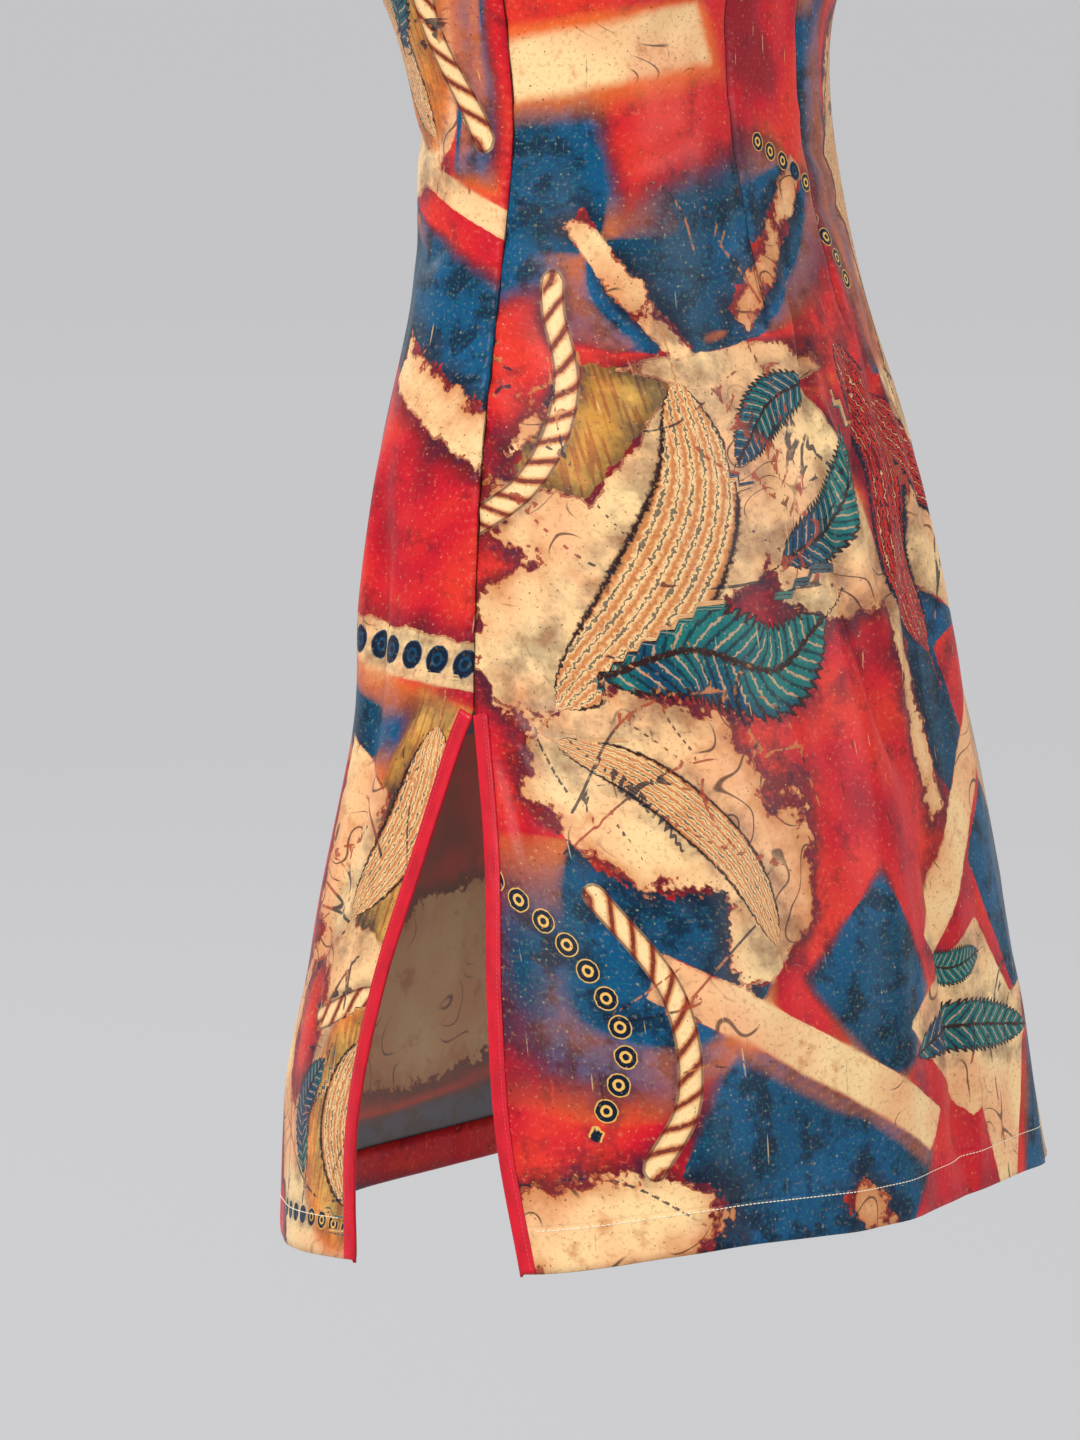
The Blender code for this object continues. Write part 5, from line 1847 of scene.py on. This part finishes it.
for hand, grid, low, column, seed in (
    ("right", under_spots, LOW_ROWS, 0, 41),
    ("left", front_spots[TURNED:], len(front_spots) - TURNED - UPPER_ROWS, -1, 42),
):
    name = f"armhole_binding_{hand}"
    edge = armhole_edge(grid, back_spots[TURNED:], column, low)
    tree = surface(grid, back_spots[TURNED:])
    bind(name, tree, edge, ARMHOLE_BINDING, (0, 0, -1), seed, closed=True)

collar_face = grid_normals(collar_spots, "back")
last = collar_spots.shape[1] - 1
rim = [(row, 0) for row in range(COLLAR_ROWS)] + [(COLLAR_ROWS, c) for c in range(last + 1)]
rim += [(row, last) for row in range(COLLAR_ROWS - 1, -1, -1)]
rim_line = np.array([collar_spots[spot] for spot in rim])
rim_face = np.array([collar_face[spot] for spot in rim])
collar_tree = surface(collar_spots)
bind("collar_binding", collar_tree, (rim_line, rim_face), BINDING, (-1, 0, 0), 51)
print("bindings:", len(RESTS))

# %% [markdown]
# ## Sewing, and the frog buttons
# The hem's topstitch is a row of short cream stitches. The finish could paint them, but real ones
# stand up and catch the light. Each frog is a round knot with a doubled cord, and a loop with a
# doubled cord that goes round the knot. A plain ball would do for the knot from afar; one cord
# that winds over and under itself looks woven from near by too.

# %% Hem stitches
THREAD_LIFT = 0.00005  # how far the thread lies clear of the cloth
STITCH_FREE = 4  # columns at each slit that the hem's stitches leave free


def hem_line(side, spots):
    """A line just outside the cloth, at the top of the turned hem."""
    grid = spots[TURNED:]
    facing = grid_normals(grid, side)
    across = np.linspace(-1, 1, COLUMNS + 1)
    hem = table_value(HEM, across, HEM_COLUMNS.index(side))
    step = (SLIT_TOP - hem) / SKIRT_ROWS
    row = HEM_STITCH_LINE / step
    low = row.astype(int)
    share = (row - low)[:, None]
    column = np.arange(COLUMNS + 1)
    line = grid[low, column] * (1 - share) + grid[low + 1, column] * share
    out = facing[low, column]
    inner = slice(STITCH_FREE, -STITCH_FREE)
    return (line + out * (SHELL / 2 + THREAD_LIFT))[inner], out[inner]


for side, spots in (("front", front_spots), ("back", back_spots)):
    made = stitches(f"hem_stitches_{side}", [hem_line(side, spots)], *HEM_STITCH, HEM_THREAD)
    print(side, "hem stitches:", len(made.data.vertices) // (STITCH_SIDES * len(STITCH_SHAPE)))

# %% Frog buttons
CORD_RADIUS = 0.0012
KNOT_RADIUS = 0.0042
FROG_REACH = 0.021
FROG_ANGLES = (-18.0, -41.0)
CLOTH = 0.0012
SEAT = CLOTH / 2 + SEAM_GAP + CORD_RADIUS
LOW = SEAT + 0.0008 + 0.0006
HIGH = LOW + KNOT_RADIUS
KNOT_LEG = (
    # (distance along the frog, level above the cloth) from the cord's end to the knot
    (-FROG_REACH, SEAT - 0.0004), (-0.7 * FROG_REACH, LOW - 0.0004), (-0.4 * FROG_REACH, LOW),
    (-0.0034, LOW + 0.0003), (-0.0010, LOW + 0.0022),
)
LOOP_LEG = ((0.97 * FROG_REACH, SEAT), (0.68 * FROG_REACH, LOW), (0.5 * FROG_REACH, LOW))
LEGS_MEET = 0.008  # distance from the knot in which its two legs close up
KNOT_BEND = 0.0012  # how far the cord's end bends out beyond the legs
KNOT_CORD = 0.00105
LOOP_BEND = 0.0008
LOOP_CORD = 0.0011
LOOP_DROP = 0.0012  # how far the loop lies below the knot's middle
EYE_STEPS = 12
BALL_STEPS = 84
BALL_WINDINGS = 3
BALL_CLIMBS = 4
BALL_CLIMB = 1.02  # how far up the ball the cord goes, in radians
BALL_RADIUS = 0.0031
BALL_OVER = 0.00045  # how far the cord steps over itself, and under
BALL_PHASE = 0.5


def cord(name, lines, radius):
    """Smooth round cords through points, as one curve."""
    curve = bpy.data.curves.new(name, "CURVE")
    curve.dimensions = "3D"
    curve.bevel_depth = radius
    curve.bevel_resolution = 3
    curve.use_fill_caps = True
    curve.resolution_u = 4
    for points, closed in lines:
        spline = curve.splines.new("BEZIER")
        spline.bezier_points.add(len(points) - 1)
        for handle, point in zip(spline.bezier_points, points):
            handle.co = point
            handle.handle_left_type = handle.handle_right_type = "AUTO"
        spline.use_cyclic_u = closed
    curve.materials.append(CORD_FINISH)
    made = new_object(name, curve)
    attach(made, "root")
    return made


def woven_ball(heart, up, ahead):
    """The line of a round knot: one cord that winds three times round a ball, over and under."""
    side = up.cross(ahead)
    points = []
    for step in range(BALL_STEPS):
        turn = 2 * math.pi * step / BALL_STEPS
        around = BALL_WINDINGS * turn
        climb = BALL_CLIMB * math.sin(BALL_CLIMBS * turn)
        radius = BALL_RADIUS + BALL_OVER * math.cos(2 * BALL_CLIMBS * turn + BALL_PHASE)
        level = ahead * math.cos(around) + side * math.sin(around)
        points.append(heart + (level * math.cos(climb) + up * math.sin(climb)) * radius)
    return points


def add_frog(number, place):
    def at(run, aside, level):
        point, normal = place(run, aside)
        return Vector(point) + Vector(normal) * level

    leg = CORD_RADIUS + SEAM_GAP
    heart = at(0, 0, HIGH)
    up = (at(0, 0, HIGH) - at(0, 0, LOW)).normalized()
    ahead = (at(0.004, 0, HIGH) - at(-0.004, 0, HIGH)).normalized()
    first, second = (
        [at(run, sign * leg * min(1, abs(run) / LEGS_MEET), level) for run, level in KNOT_LEG]
        for sign in (-1, 1)
    )
    bend = [at(-FROG_REACH - KNOT_BEND, 0, SEAT - 0.0004)]
    lines = [(bend + second + first[::-1], True), (woven_ball(heart, up, ahead), True)]
    knot = cord(f"frog_knot_{number}", lines, KNOT_CORD)
    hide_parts(f"frog_knot_{number}")

    eye = KNOT_RADIUS + 0.0012 + CORD_RADIUS
    side = [at(run, leg, level) for run, level in LOOP_LEG]
    opening = math.asin(leg / eye)
    ring = []
    for step in range(EYE_STEPS + 1):
        turn = opening + (2 * math.pi - 2 * opening) * step / EYE_STEPS
        ring.append(at(eye * math.cos(turn), eye * math.sin(turn), HIGH - LOOP_DROP))
    other = [at(run, -leg, level) for run, level in reversed(LOOP_LEG)]
    tip = [at(FROG_REACH + LOOP_BEND, 0, SEAT)]
    loop = cord(f"frog_loop_{number}", [(side + ring + other + tip, True)], LOOP_CORD)
    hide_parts(f"frog_loop_{number}")


print("a frog is", round(1000 * (2 * FROG_REACH + KNOT_BEND + LOOP_BEND)), "mm long")


# %% Where the frogs lie
def form_frame(angle, height):
    """A point of the front's form and its outward direction."""
    step = 1e-4
    spot = form_point("front", np.array(angle), np.array(height))
    beside = form_point("front", np.array(angle + step), np.array(height))
    above = form_point("front", np.array(angle), np.array(height + step))
    normal = np.cross(beside - spot, above - spot)
    return spot, normal / np.linalg.norm(normal)


def opening_place(angle_deg):
    across = angle_deg / 90
    start = form_point("front", *opening_line(np.array(across)))
    beside = form_point("front", *opening_line(np.array(across + 0.02)))
    along = np.array([beside[0] - start[0], beside[2] - start[2]])
    along /= np.linalg.norm(along)
    down = np.array([along[1], -along[0]])

    def place(run, aside):
        x = start[0] + down[0] * run + along[0] * aside
        height = start[2] + down[1] * run + along[1] * aside + HOLD_HEIGHT
        return form_frame(float(angle_at(x, height)), float(height))

    return place


def collar_place():
    row = collar_spots[0] * 0.7 + collar_spots[-1] * 0.3
    middle = len(row) // 2
    line = Path(np.vstack([row[middle:0:-1], row[:1], row[: middle - 1 : -1]]))
    before = Path(np.vstack([row[middle:0:-1], row[:1]])).length
    centre = before + np.linalg.norm(row[0] - row[-1]) / 2

    def place(run, aside):
        ahead, behind = line.at(centre + run + KNOT_RADIUS), line.at(centre + run - KNOT_RADIUS)
        along = (ahead - behind) / np.linalg.norm(ahead - behind)
        level = np.cross(along, (0, 0, 1.0))
        level /= np.linalg.norm(level)
        normal = np.cross(along, np.array([0, 0, 1.0]) - level * COLLAR_LEAN)
        normal /= np.linalg.norm(normal)
        return (ahead + behind) / 2 + np.cross(normal, along) * aside, normal

    return place


add_frog(1, collar_place())
for number, angle in enumerate(FROG_ANGLES, start=2):
    add_frog(number, opening_place(angle))
print("frog buttons:", 1 + len(FROG_ANGLES))
